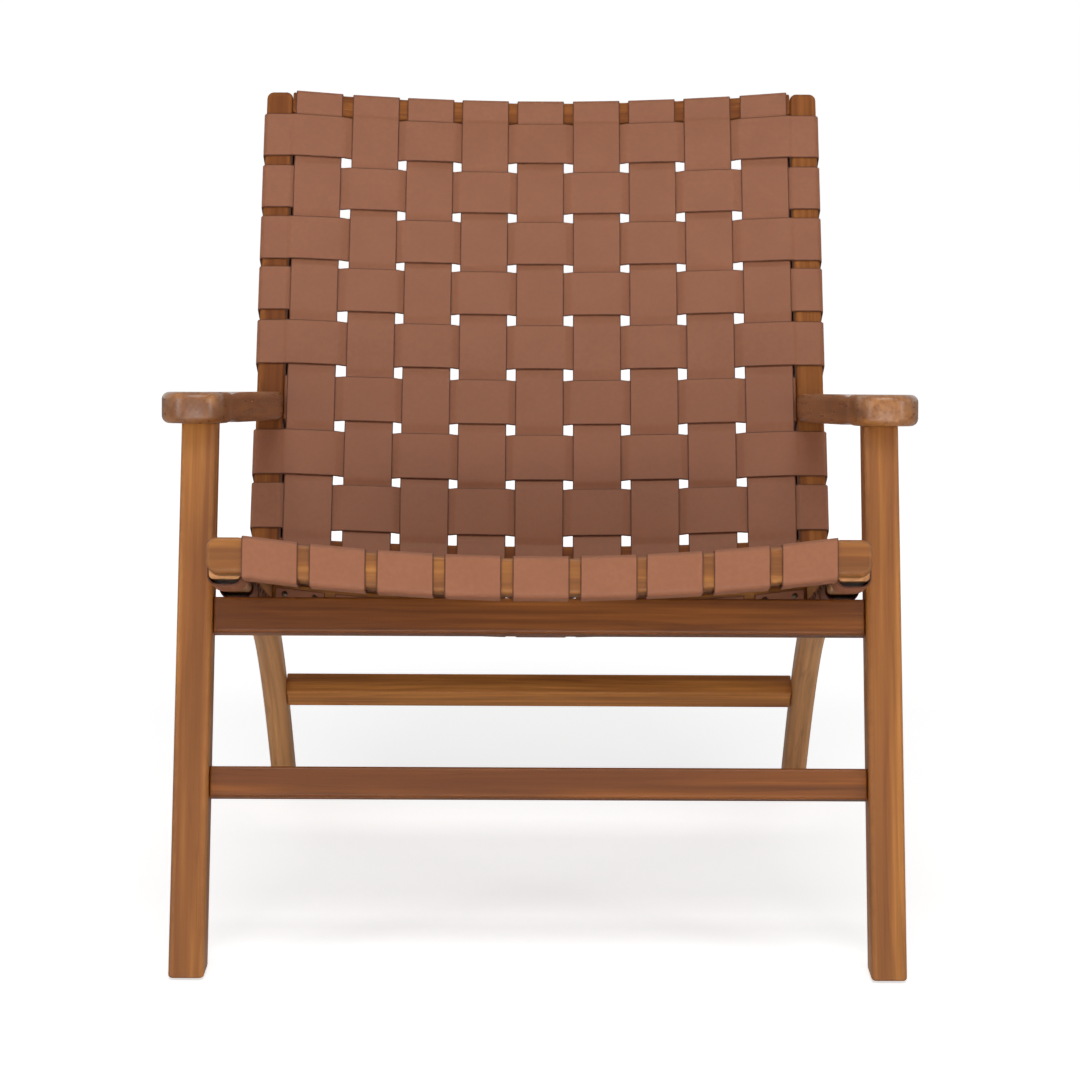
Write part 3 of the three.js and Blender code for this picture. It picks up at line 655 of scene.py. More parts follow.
class NodeSheet:
    """Adds nodes to a tree and joins them, one call a node."""

    def __init__(self, tree: Tree) -> None:
        """Empties the tree and keeps it.

        Args:
            tree: The tree to fill.
        """
        self.tree = tree
        tree.nodes.clear()

    def add(self, kind: str, inputs: dict | None = None, **settings: object) -> bpy.types.Node:
        """Adds a node.

        Args:
            kind: Its type, without the ShaderNode at its front.
            inputs: Sockets by name or number, each with a value or with a socket to join.
            settings: Its own settings.

        Returns:
            The node.
        """
        node = self.tree.nodes.new(f"ShaderNode{kind}")
        for name, value in settings.items():
            setattr(node, name, value)
        for name, value in (inputs or {}).items():
            if isinstance(value, Socket):
                self.tree.links.new(value, node.inputs[name])
            else:
                node.inputs[name].default_value = value
        return node

    def math(self, operation: str, one: object, two: object = 0.0, clamp: bool = False) -> Socket:
        """Adds a sum of two values and gives its result."""
        node = self.add("Math", {0: one, 1: two}, operation=operation, use_clamp=clamp)
        return node.outputs[0]

    def times(self, one: object, two: object) -> Socket:
        """Adds a product of two values and gives its result."""
        return self.math("MULTIPLY", one, two)

    def vector(self, operation: str, inputs: dict) -> Socket:
        """Adds a sum of vectors and gives its result."""
        return self.add("VectorMath", inputs, operation=operation).outputs[0]

    def span(self, value: object, low: float, high: float, to: Pair = (0.0, 1.0)) -> Socket:
        """Adds a smooth rise from one number to another as a value passes from low to high."""
        bounds = {"From Min": low, "From Max": high, "To Min": to[0], "To Max": to[1]}
        inputs = {"Value": value, **bounds}
        return self.add("MapRange", inputs, interpolation_type="SMOOTHSTEP").outputs["Result"]

    def noise(self, place: object, scale: object, detail: float, roughness: float = 0.55) -> Socket:
        """Adds a noise at a place and gives its level, about 0.5 on average."""
        inputs = {"Vector": place, "Scale": scale, "Detail": detail, "Roughness": roughness}
        return self.add("TexNoise", inputs).outputs["Fac"]

    def stretch(self, place: object, across: float, along: float) -> Socket:
        """Adds a scaling of a place, across the grain and along it, and gives the result."""
        scale = (across, along, across)
        return self.add("Mapping", {"Vector": place, "Scale": scale}).outputs["Vector"]

    def mix(self, share: object, one: object, two: object, blend: str = "MIX") -> Socket:
        """Adds a mix of two colours and gives its result."""
        inputs = {0: share, 6: one, 7: two}
        return self.add("Mix", inputs, data_type="RGBA", blend_type=blend).outputs[2]

    def shade(self, colour: object, tone: Socket) -> Socket:
        """Adds a product of a colour and a tone, and gives its result."""
        grey = self.add("CombineColor", {0: tone, 1: tone, 2: tone}).outputs[0]
        return self.mix(1.0, colour, grey, "MULTIPLY")

    def read(self, name: str, output: str) -> Socket:
        """Adds a reading of a mesh attribute and gives its value."""
        return self.add("Attribute", attribute_name=name).outputs[output]

    def group(self, tree: Tree, inputs: dict) -> bpy.types.bpy_prop_collection:
        """Places a node group and gives its outputs."""
        return self.add("Group", inputs, node_tree=tree).outputs

    def surface(self, height: Socket, strength: float, distance: float, inputs: dict) -> None:
        """Adds a bump, the shader and the material's output.

        Args:
            height: The bump's height, in shares of its distance.
            strength: The bump's strength.
            distance: The bump's distance.
            inputs: The shader's sockets by name, with values or sockets.
        """
        bump = self.add("Bump", {"Height": height, "Strength": strength, "Distance": distance})
        shader = self.add("BsdfPrincipled", {**inputs, "Normal": bump.outputs[0]})
        self.add("OutputMaterial", {"Surface": shader.outputs[0]})

    def give(self, results: dict[str, Socket]) -> Tree:
        """Makes the outputs of a group, and joins results to them.

        Args:
            results: Each output's name and the socket it gives.

        Returns:
            The finished group.
        """
        for name in results:
            self.tree.interface.new_socket(name, in_out="OUTPUT", socket_type="NodeSocketFloat")
        out = self.tree.nodes.new("NodeGroupOutput")
        for name, socket in results.items():
            self.tree.links.new(socket, out.inputs[name])
        return self.tree


def new_group(name: str, numbers: dict[str, float]) -> tuple[NodeSheet, bpy.types.Node]:
    """Makes an empty shader node group that takes a place and some numbers.

    Args:
        name: The group's name.
        numbers: Each number's name, and the value it starts from.

    Returns:
        The sheet to fill, and the group's input node.
    """
    tree = bpy.data.node_groups.new(name, "ShaderNodeTree")
    sheet = NodeSheet(tree)
    tree.interface.new_socket("Vector", in_out="INPUT", socket_type="NodeSocketVector")
    for label, value in numbers.items():
        socket = tree.interface.new_socket(label, in_out="INPUT", socket_type="NodeSocketFloat")
        socket.default_value = value
    return sheet, tree.nodes.new("NodeGroupInput")


class Effects:
    """The node groups that several finishes share."""

    @cached_property
    def edge_mark_and_painted_light(self) -> Tree:
        """How far an edge takes its edge colour: the edge mask, broken up by a noise. On teak that
        is wear with a painted highlight; on leather, a burnished edge with painted shade.
        """
        sheet, given = new_group("edge_mark_and_painted_light", {"Edge": 0.0, "Patchiness": 0.5})
        place, edge, patchiness = (given.outputs[name] for name in ("Vector", "Edge", "Patchiness"))
        broken = sheet.span(sheet.noise(place, 85.0, 4.0), 0.35, 0.65)
        kept = sheet.math("SUBTRACT", 1.0, patchiness)
        level = sheet.math("ADD", kept, sheet.times(broken, patchiness))
        return sheet.give({"Mask": sheet.math("MULTIPLY", level, edge, clamp=True)})

    @cached_property
    def wood_figure(self) -> Tree:
        """Growth rings cut along the log, with streaks, thin dark lines and open pores.

        The rings are a wave of the distance to the log's heart, which lies beside the piece and
        wanders slowly along it, and they come and go. The streaks, lines and pores are noises
        drawn out along the grain. A line is where its noise is near the middle of its range.
        """
        sheet, given = new_group("wood_figure", {"Ring Width": 0.005})
        place = given.outputs["Vector"]
        slow = {"Vector": sheet.stretch(place, 7.0, 2.2), "Scale": 1.0, "Detail": 1.5}
        drift = sheet.add("TexNoise", slow).outputs["Color"]
        wander = sheet.vector("SUBTRACT", {0: drift, 1: (0.5, 0.5, 0.5)})
        shift = sheet.vector("SCALE", {0: wander, "Scale": 0.034})
        moved = sheet.vector("ADD", {0: place, 1: shift})
        centred = sheet.vector("ADD", {0: moved, 1: (0.021, 0.0, 0.034)})
        parts = sheet.add("SeparateXYZ", {0: centred}).outputs
        squares = [sheet.times(parts[axis], parts[axis]) for axis in (0, 2)]
        distance = sheet.math("SQRT", sheet.math("ADD", *squares))
        ripple = sheet.noise(sheet.stretch(place, 220.0, 8.0), 1.0, 3.0)
        rough = sheet.math("ADD", distance, sheet.times(ripple, 0.003))
        cycle = sheet.math("FRACT", sheet.math("DIVIDE", rough, given.outputs["Ring Width"]))
        rise, fall = sheet.span(cycle, 0.0, 0.8), sheet.span(cycle, 0.84, 1.0)
        coming = sheet.noise(sheet.stretch(place, 60.0, 3.0), 1.0, 2.0)
        fading = sheet.span(coming, 0.34, 0.64, (0.15, 1.0))
        course = sheet.noise(sheet.stretch(moved, 95.0, 2.4), 1.0, 2.0, 0.5)
        apart = sheet.math("ABSOLUTE", sheet.math("SUBTRACT", course, 0.5))
        dashes = sheet.noise(sheet.stretch(place, 1500.0, 42.0), 1.0, 2.0, 0.5)
        return sheet.give(
            {
                "Rings": sheet.times(sheet.math("SUBTRACT", rise, fall, clamp=True), fading),
                "Streaks": sheet.noise(sheet.stretch(place, 190.0, 4.0), 1.0, 4.0),
                "Lines": sheet.times(sheet.span(apart, 0.022, 0.004), fading),
                "Pores": sheet.span(dashes, 0.64, 0.78),
            }
        )

    @cached_property
    def mottle(self) -> Tree:
        """Slow and quick changes of tone over a surface, each about 0.5 on average."""
        sheet, given = new_group("mottle", {"Size": 0.05})
        place, scale = given.outputs["Vector"], sheet.math("DIVIDE", 1.0, given.outputs["Size"])
        slow = sheet.noise(place, scale, 3.0, 0.5)
        quick = sheet.noise(place, sheet.times(scale, 9.0), 3.0, 0.5)
        return sheet.give({"Slow": slow, "Quick": quick})


def new_material(name: str) -> tuple[Material, NodeSheet]:
    """Makes an empty node material.

    Args:
        name: The material's name.

    Returns:
        The material and the sheet to fill.
    """
    material = bpy.data.materials.new(name)
    material.use_nodes = True
    return material, NodeSheet(material.node_tree)


@dataclass(frozen=True)
class TeakFinish:
    """Oiled teak: satin, with soft streaks, faint rings, thin dark lines and fine open pores, and
    edges painted lighter for wear and a painted highlight.
    """

    name: str
    light: Colour
    middle: Colour
    dark: Colour
    blush: Colour
    ring_width: float
    roughness: float = 0.42
    coat: float = 0.06
    shine: float = 0.3

    def make(self, effects: Effects) -> Material:
        """Builds the material.

        Args:
            effects: The shared node groups.

        Returns:
            The material.
        """
        material, sheet = new_material(self.name)
        light, dark = linear(*self.light), linear(*self.dark)
        place, edge = sheet.read("piece", "Vector"), sheet.read("edge", "Fac")
        figure = sheet.group(effects.wood_figure, {"Vector": place, "Ring Width": self.ring_width})
        drawn_out = sheet.stretch(place, 3.6, 0.17)
        slow = sheet.group(effects.mottle, {"Vector": drawn_out, "Size": 0.09})["Slow"]
        edge_inputs = {"Vector": place, "Edge": edge, "Patchiness": 0.55}
        edge_mark_and_light = sheet.group(effects.edge_mark_and_painted_light, edge_inputs)["Mask"]
        colour = sheet.mix(sheet.span(figure["Streaks"], 0.27, 0.73), linear(*self.middle), light)
        rosy = sheet.times(sheet.span(slow, 0.6, 0.4), 0.62)
        colour = sheet.mix(rosy, colour, linear(*self.blush))
        for mark, share in (("Rings", 0.2), ("Lines", 0.22), ("Pores", 0.26)):
            colour = sheet.mix(sheet.times(figure[mark], share), colour, dark)
        toned = sheet.shade(colour, sheet.span(slow, 0.32, 0.68, (0.82, 1.16)))
        gloss = (self.roughness - 0.05, self.roughness + 0.07)
        grooves, ridges = sheet.times(figure["Pores"], -0.7), sheet.times(figure["Rings"], 0.2)
        inputs = {
            # Edges lean to the light colour: wear, and a painted highlight along the rounded edges.
            "Base Color": sheet.mix(sheet.times(edge_mark_and_light, 0.22), toned, light),
            "Roughness": sheet.span(figure["Streaks"], 0.25, 0.75, gloss),
            "Specular IOR Level": self.shine, "Coat Weight": self.coat, "Coat Roughness": 0.25,
        }
        sheet.surface(sheet.math("ADD", grooves, ridges), 0.16, 0.0002, inputs)
        return material


@dataclass(frozen=True)
class LeatherFinish:
    """Strap leather: a smooth dyed grain side, a napped flesh side and burnished cut edges, painted
    darker than the burnish as shade between the straps.
    """

    name: str = "strap_leather"
    grain_side: Colour = (149, 95, 67)
    deep: Colour = (133, 82, 57)
    flesh_side: Colour = (118, 77, 53)
    cut_edge_with_shade: Colour = (82, 43, 26)
    half_thickness: float = 0.0009

    def make(self, effects: Effects) -> Material:
        """Builds the material.

        Args:
            effects: The shared node groups.

        Returns:
            The material.
        """
        material, sheet = new_material(self.name)
        place, edge = sheet.read("piece", "Vector"), sheet.read("edge", "Fac")
        mottle = sheet.group(effects.mottle, {"Vector": place, "Size": 0.045})
        edge_inputs = {"Vector": place, "Edge": edge, "Patchiness": 0.2}
        edge_mark_and_light = sheet.group(effects.edge_mark_and_painted_light, edge_inputs)["Mask"]
        through = sheet.add("SeparateXYZ", {0: place}).outputs[2]
        flesh = sheet.span(through, -self.half_thickness * 0.2, -self.half_thickness * 0.7)
        cell = {"Vector": place, "Scale": 1150.0, "Randomness": 1.0}
        cells = sheet.add("TexVoronoi", cell, feature="SMOOTH_F1").outputs["Distance"]
        nap = sheet.noise(place, 2600.0, 4.0, 0.7)
        grain = linear(*self.grain_side)
        face = sheet.mix(sheet.span(mottle["Slow"], 0.28, 0.72), linear(*self.deep), grain)
        speck = sheet.span(mottle["Quick"], 0.3, 0.7, (0.955, 1.03))
        specks = sheet.shade(sheet.mix(0.72, face, grain), speck)
        suede = sheet.shade(linear(*self.flesh_side), sheet.span(nap, 0.3, 0.7, (0.8, 1.12)))
        both = sheet.mix(flesh, specks, suede)
        skin_gloss = sheet.span(mottle["Quick"], 0.25, 0.75, (0.5, 0.6))
        skin = sheet.times(sheet.span(cells, 0.1, 0.75), 0.35)
        fuzz = sheet.times(sheet.times(nap, 1.6), flesh)
        inputs = {
            # The cut edges take a dark colour: burnished leather, darkened further as painted shade
            # for the shadow lines between the straps.
            "Base Color": sheet.mix(sheet.times(edge_mark_and_light, 0.92), both, linear(*self.cut_edge_with_shade)),
            "Roughness": sheet.math("ADD", sheet.times(flesh, 0.35), skin_gloss, clamp=True),
            "Specular IOR Level": 0.3,
        }
        sheet.surface(sheet.math("ADD", skin, fuzz), 0.3, 0.0002, inputs)
        return material


@dataclass(frozen=True)
class HardFinish:
    """A plain hard surface: steel or nylon, with faint changes of tone."""

    name: str
    colour: Colour
    metallic: float
    roughness: float

    def make(self, effects: Effects) -> Material:
        """Builds the material.

        Args:
            effects: The shared node groups.

        Returns:
            The material.
        """
        material, sheet = new_material(self.name)
        place = sheet.read("piece", "Vector")
        mottle = sheet.group(effects.mottle, {"Vector": place, "Size": 0.006})
        tone = sheet.span(mottle["Slow"], 0.3, 0.7, (0.88, 1.05))
        gloss = (self.roughness - 0.06, self.roughness + 0.1)
        inputs = {
            "Base Color": sheet.shade(linear(*self.colour), tone),
            "Roughness": sheet.span(mottle["Quick"], 0.3, 0.7, gloss),
            "Metallic": self.metallic,
        }
        sheet.surface(mottle["Quick"], 0.15, 0.0001, inputs)
        return material


class Look(Enum):
    """The finishes of the chair. Teak has a light, a middle, a dark and a blush colour."""

    LEG = TeakFinish("leg_teak", (187, 124, 60), (154, 96, 43), (92, 48, 18), (138, 79, 40), 0.0058)
    RAIL = TeakFinish(
        "rail_teak", (172, 113, 54), (138, 84, 36), (74, 40, 16), (126, 72, 34), 0.0052
    )
    # Painted shade: a darker, duller copy of the teak for the stiles and the back's rails, which
    # stand in shade.
    STILE = TeakFinish(
        "stile_teak_painted_shade", (156, 96, 48), (124, 72, 34), (68, 34, 13), (130, 70, 36), 0.0052,
        roughness=0.6, coat=0.0, shine=0.12,
    )
    # Painted light: a paler copy of the teak for the seat rails and their rear legs, standing for
    # the floor's light on the legs.
    BENT_LIT = TeakFinish(
        "bent_teak_painted_light", (222, 162, 104), (190, 134, 84), (116, 72, 42), (176, 120, 76), 0.0060
    )
    # Painted light: a lighter copy of the teak for the rear stretcher, standing for the floor's
    # light on its lower face.
    BRACE_LIT = TeakFinish(
        "brace_teak_painted_light", (216, 144, 72), (176, 110, 52), (92, 48, 18), (146, 82, 42), 0.0056
    )
    BAR = TeakFinish("bar_teak", (152, 90, 39), (120, 67, 26), (60, 29, 10), (108, 57, 26), 0.0050)
    ARM = TeakFinish(
        "arm_teak", (164, 109, 59), (133, 83, 43), (74, 44, 22), (120, 70, 40), 0.0055,
        roughness=0.3, coat=0.22, shine=0.45,
    )
    LEATHER = LeatherFinish()
    STEEL = HardFinish("fastener_steel", (168, 168, 164), 1.0, 0.34)
    NAIL = HardFinish("nail_steel", (104, 92, 78), 1.0, 0.42)
    NYLON = HardFinish("glide_nylon", (214, 208, 196), 0.0, 0.5)


# ---- Sizes


@dataclass(frozen=True)
class StrapRow:
    """Straps that share the room between two places, with gaps between and beside them."""

    start: float
    end: float
    count: int
    gap: float
    first_gap: float
    last_gap: float

    @property
    def width(self) -> float:
        """The width left for each strap."""
        room = self.end - self.start - self.first_gap - self.last_gap
        return (room - self.gap * (self.count - 1)) / self.count

    @property
    def pitch(self) -> float:
        """The distance from one strap to the next."""
        return self.width + self.gap

    @property
    def places(self) -> Array:
        """The middles of the straps."""
        return self.start + self.first_gap + self.width / 2 + np.arange(self.count) * self.pitch


@dataclass(frozen=True)
class ChairSizes:
    """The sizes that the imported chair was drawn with."""

    clearance: float = 0.0003
    frame_half_width: float = 0.295
    member_width: float = 0.028
    leg_gap: float = 0.003
    leg_width: float = 0.032
    leg_depth: float = 0.040
    leg_lean: float = math.radians(20)
    seat_front_height: float = 0.3955
    seat_slope: float = math.radians(15.5)
    seat_length: float = 0.412
    seat_member_depth: float = 0.034
    rear_bend_lead: float = 0.004
    rear_foot_depth: float = 0.773
    rear_knee_share: float = 0.4635
    rear_bend_share: float = 0.76
    front_rail: float = 0.030
    rear_rail: float = 0.028
    back_foot_share: float = 0.23
    back_recline: float = math.radians(29.2)
    back_length: float = 0.587
    back_member_depth: float = 0.036
    top_rail: float = 0.026
    bottom_rail_start: float = 0.042
    bottom_rail: float = 0.034
    arm_above_strap: float = 0.0056
    arm_slope: float = math.radians(6.5)
    arm_thickness: float = 0.029
    glide_height: float = 0.002
    bolt_head_sink: float = 0.001
    bolt_head_height: float = 0.005
    screw_wood: float = 0.024
    seat_turned: int = 2
    back_turned: int = 6

    @property
    def member_inner(self) -> float:
        """The inner face of the side members, from the middle of the chair."""
        return self.frame_half_width - self.member_width

    @property
    def member_middle(self) -> float:
        """The middle of the side members."""
        return self.frame_half_width - self.member_width / 2

    @property
    def leg_inner(self) -> float:
        """The inner face of the front legs."""
        return self.frame_half_width + self.leg_gap

    @property
    def leg_outer(self) -> float:
        """The outer face of the front legs."""
        return self.leg_inner + self.leg_width

    @property
    def long_row(self) -> StrapRow:
        """The long straps, across the chair."""
        gaps = {"gap": 0.009, "first_gap": 0.0045, "last_gap": 0.0045}
        return StrapRow(-self.member_inner, self.member_inner, count=9, **gaps)

    @property
    def seat_row(self) -> StrapRow:
        """The seat's cross straps, from the front."""
        gaps = {"gap": 0.010, "first_gap": 0.003, "last_gap": 0.003}
        return StrapRow(self.front_rail, self.seat_length - self.rear_rail, count=6, **gaps)

    @property
    def back_row(self) -> StrapRow:
        """The back's cross straps, from the bottom."""
        start = self.bottom_rail_start + self.bottom_rail
        gaps = {"gap": 0.0106, "first_gap": 0.0088, "last_gap": 0.0018}
        return StrapRow(start, self.back_length - self.top_rail, count=8, **gaps)

    @property
    def dish_corners(self) -> Array:
        """Where the dished rails turn from flat to flat: their ends, and between long straps."""
        row, end = self.long_row, self.member_inner
        between = (np.arange(1, row.count) - row.count / 2) * row.pitch
        return np.concatenate([[-end], between, [end]])

    def dish_at(self, across: Array | float, dish: float) -> Array:
        """The level of a dished surface, -dish * (1 - share^2)."""
        share = across / self.member_inner
        return -dish * np.maximum(0, 1 - share * share)

    def leg_depth_at(self, height: float) -> float:
        """How far back the middle line of a front leg lies at a height."""
        return height * math.tan(self.leg_lean) + self.leg_depth / 2 / math.cos(self.leg_lean)

    @property
    def bolt_along(self) -> float:
        """Where the leg bolt passes the seat rail."""
        return float(self.seat_row.places[self.seat_turned - 1])

    @property
    def bolt_place(self) -> Array:
        """Where the leg bolt passes, in the side view."""
        return self.seat_plane.flat(self.bolt_along, -self.seat_member_depth / 2)

    @cached_property
    def leg_plane(self) -> SidePlane:
        """The plane of the front legs, from the front edge of their foot."""
        return SidePlane(0.0, 0.0, math.pi / 2 - self.leg_lean)

    @cached_property
    def seat_plane(self) -> SidePlane:
        """The plane of the seat, whose middle line meets the leg's at the bolt."""
        half = self.seat_member_depth / 2
        cos, sin = math.cos(self.seat_slope), math.sin(self.seat_slope)
        height = self.seat_front_height - self.bolt_along * sin - half * cos
        depth = self.leg_depth_at(height) - self.bolt_along * cos + half * sin
        return SidePlane(depth, self.seat_front_height, -self.seat_slope)

    @cached_property
    def rear_leg_curve(self) -> Array:
        """The middle line of the bent tail of a seat rail, a cubic Bezier curve."""
        start_along = self.seat_length - self.rear_rail - self.rear_bend_lead
        start = self.seat_plane.flat(start_along, -self.seat_member_depth / 2)
        foot = np.array([self.rear_foot_depth, 0.0])
        knee_depth = start[0] + (foot[0] - start[0]) * self.rear_knee_share
        knee_drop = (knee_depth - start[0]) * math.tan(self.seat_slope)
        knee = np.array([knee_depth, start[1] - knee_drop])
        first = start + self.rear_bend_share * (knee - start)
        second = foot + self.rear_bend_share * (knee - foot)
        return bezier((start, first, second, foot), REAR_LEG_STEPS)

    @cached_property
    def back_plane(self) -> SidePlane:
        """The plane of the back, whose stiles start on the seat rail's middle line."""
        foot = self.rear_leg_curve[round(self.back_foot_share * REAR_LEG_STEPS)]
        half = self.back_member_depth / 2
        depth = foot[0] - half * math.cos(self.back_recline)
        height = foot[1] + half * math.sin(self.back_recline)
        return SidePlane(float(depth), float(height), math.pi / 2 - self.back_recline)

    @cached_property
    def arm_plane(self) -> SidePlane:
        """The plane of an arm's top, from the face of the stile."""
        along = self.back_row.places[self.back_row.count - self.back_turned] + self.arm_above_strap
        rear = self.back_plane.flat(float(along), 0.0)
        return SidePlane(float(rear[0]), float(rear[1]), -self.arm_slope)


SIZES = ChairSizes()
FRONT_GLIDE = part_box("glide_front_left")
DEPTH_SHIFT = (FRONT_GLIDE[0][1] + FRONT_GLIDE[1][1]) / 2 - SIZES.leg_depth_at(SIZES.glide_height)


def in_chair(across: Array, side_view: Array) -> Array:
    """Places in the chair, from places across it and places in its side view.

    Args:
        across: Places on X.
        side_view: Depths and heights, in the last axis.

    Returns:
        Points, in the last axis.
    """
    return np.stack([across, side_view[..., 0] + DEPTH_SHIFT, side_view[..., 1]], axis=-1)


# ---- The workshop


@dataclass
class Workshop:
    """Turns grids into finished pieces, hangs them on the chair and hides the imported nodes that
    they replace.
    """

    effects: Effects = field(default_factory=Effects)
    materials: dict[Look, Material] = field(default_factory=dict)
    made: int = 0

    def material(self, look: Look) -> Material:
        """Gives the material of a finish, made when first asked for.

        Args:
            look: The finish.

        Returns:
            The material.
        """
        if look not in self.materials:
            self.materials[look] = look.value.make(self.effects)
        return self.materials[look]

    def piece(
        self,
        name: str,
        points: Array,
        faces: Faces,
        reads: tuple[Array, Array],
        look: Look,
        slot: Slot,
        stands_for: Sequence[str] = (),
    ) -> bpy.types.Object:
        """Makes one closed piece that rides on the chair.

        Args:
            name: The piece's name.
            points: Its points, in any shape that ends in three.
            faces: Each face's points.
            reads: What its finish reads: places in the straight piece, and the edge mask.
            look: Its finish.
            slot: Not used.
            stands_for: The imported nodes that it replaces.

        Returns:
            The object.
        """
        mesh = bpy.data.meshes.new(name)
        mesh.from_pydata(points.reshape(-1, 3).tolist(), [], faces)
        mesh.update()
        worked = bmesh.new()
        worked.from_mesh(mesh)
        bmesh.ops.recalc_face_normals(worked, faces=worked.faces[:])
        worked.to_mesh(mesh)
        worked.free()
        kinds = (("piece", "FLOAT_VECTOR", "vector"), ("edge", "FLOAT", "value"))
        for (label, kind, key), values in zip(kinds, reads):
            layer = mesh.attributes.new(label, kind, "POINT")
            layer.data.foreach_set(key, np.ascontiguousarray(values, dtype=np.float32).ravel())
        mesh.shade_smooth()
        mesh.set_sharp_from_angle(angle=SHARP_ANGLE)
        mesh.materials.append(self.material(look))
        item = bpy.data.objects.new(name, mesh)
        bpy.context.scene.collection.objects.link(item)
        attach(item, "root")
        if stands_for:
            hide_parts(*stands_for)
        self.made += 1
        log.info("%s: %d points, %d faces", name, len(mesh.vertices), len(mesh.polygons))
        return item

    def lot(self, grain: float = 1.0) -> Array:
        """A shift of the pattern for the next piece, so that no two look alike."""
        random = np.random.default_rng(self.made + FIRST_LOT)
        return (random.random(3) - 0.5) * np.array(LOT_RANGE) * grain


# ---- Timber


@dataclass
class TimberFrame:
    """Legs, rails, stiles and arms of oiled teak."""

    sizes: ChairSizes
    shop: Workshop
    leg_line: Pair = (0.05, 0.7)
    leg_ease: float = 0.0045
    member_ease: float = 0.0038
    rail_ease: float = 0.0036
    rear_leg_ease: float = 0.0095
    rear_leg_slimming: float = 0.0022
    rear_leg_splay: float = 0.0008
    bore_room: float = 0.013
    bolt_bore: float = 0.0093
    screw_bore: float = 0.0063
    foot_ease: float = 0.0028
    cut_ease: float = 0.0003
    rear_ease_run: float = 0.16
    rear_blend: float = 0.12
    stile_top: Rounding = Rounding(0.0075, 0.0075, 0.0035)
    seat_rail_height: float = 0.032
    back_rail_height: float = 0.024
    seat_dish: float = 0.018
    back_dish: float = 0.024
    rail_end_radius: float = 0.010
    bar_thickness: float = 0.022
    bar_ease: float = 0.003
    apron_drop: float = 0.051
    apron_height: float = 0.033
    front_stretcher_level: float = 0.1809
    front_stretcher_height: float = 0.028
    rear_stretcher_level: float = 0.134
    rear_stretcher_height: float = 0.028
    rear_stretcher_thickness: float = 0.0255
    arm_front_reach: float = 0.0505
    arm_inner_overhang: float = 0.0125
    arm_outer_overhang: float = 0.019
    arm_paddle_length: float = 0.044
    arm_neck_distance: float = 0.088
    arm_neck_inner_step: float = 0.0025
    arm_neck_outer_step: float = 0.0105
    arm_ease: float = 0.007
    arm_pinch: float = 0.0022
    arm_pinch_place: float = 0.022
    arm_pinch_length: float = 0.015
    arm_shear_run: float = 0.08

    def build(self) -> None:
        """Builds every timber piece."""
        for side in Side:
            self.front_leg(side)
            self.seat_rail(side)
            self.back_stile(side)
            self.arm(side)
        self.front_rail()
        self.end_rail("seat_rear_rail", self.seat_rear_span)
        self.end_rail("back_bottom_rail", self.back_bottom_span)
        self.end_rail("back_top_rail", self.back_top_span)
        corner = self.sizes.leg_plane.read(self.sizes.seat_plane.flat(0.0, 0.0))
        self.front_bar("front_apron", float(corner[0]) - self.apron_drop, self.apron_height)
        self.front_bar("front_stretcher", self.front_stretcher_level, self.front_stretcher_height)
        self.rear_bar()

    @property
    def seat_rear_span(self) -> Pair:
        """The seat's rear rail, along the seat."""
        return self.sizes.seat_length - self.sizes.rear_rail, self.sizes.seat_length

    @property
    def back_bottom_span(self) -> Pair:
        """The back's bottom rail, along the back."""
        start = self.sizes.bottom_rail_start
        return start, start + self.sizes.bottom_rail

    @property
    def back_top_span(self) -> Pair:
        """The back's top rail, along the back."""
        return self.sizes.back_length - self.sizes.top_rail, self.sizes.back_length

    def carried_piece(
        self,
        node: str,
        grid: Grid,
        course: Course,
        middle: float,
        look: Look,
        bore: Bore | None = None,
    ) -> None:
        """Places a carried section at its middle across the chair.

        Args:
            node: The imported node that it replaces.
            grid: The section, carried along a line in the side view.
            course: The line.
            middle: Its middle on X.
            look: Its finish.
            bore: A hole in one of its flats.
        """
        points = in_chair(middle + grid.across, grid.place).reshape(-1, 3)
        places, edge = grid.material_places.reshape(-1, 3), grid.edge.ravel()
        faces = tube_faces(*grid.across.shape)
        if bore:
            quad, opened = bore.faces(grid.material_places)
            faces = [face for face in faces if sorted(face) != sorted(quad)] + opened
            rings = bore.rings.reshape(-1, 3)
            bored = in_chair(middle + rings[:, 0], course.at(rings[:, 1], rings[:, 2]))
            points, places = np.vstack([points, bored]), np.vstack([places, rings])
            edge = np.append(edge, np.zeros(len(rings)))
        reads = (places + self.shop.lot(), edge)
        self.shop.piece(f"oiled_{node}", points, faces, reads, look, Slot.TEAK, [node])

    def slab_piece(
        self, node: str, slab: Slab, points: Array, places: Sequence[Array], look: Look
    ) -> None:
        """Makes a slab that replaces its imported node.

        Args:
            node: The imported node.
            slab: The slab.
            points: Its points in the chair.
            places: Their places across, along and through the straight piece.
            look: Its finish.
        """
        reads = (np.stack(places, axis=-1) + self.shop.lot(), slab.edge)
        self.shop.piece(f"oiled_{node}", points, slab.faces, reads, look, Slot.TEAK, [node])

    @cached_property
    def seat_course(self) -> Course:
        """The middle line of a seat rail and its rear leg, run on past the floor."""
        sizes, curve = self.sizes, self.sizes.rear_leg_curve
        start = sizes.front_rail + sizes.clearance
        front = sizes.seat_plane.flat(start, -sizes.seat_member_depth / 2)
        way = curve[-1] - curve[-2]
        beyond = curve[-1] + way / np.linalg.norm(way) * sizes.seat_member_depth
        return Course(np.vstack([front[None], curve[::RAIL_STRIDE], curve[-1:], beyond[None]]))

    def below_feet(self, place: Array) -> Array:
        """How far places in the side view lie below the underside of the feet."""
        return self.sizes.glide_height + self.sizes.clearance - place[..., 1]

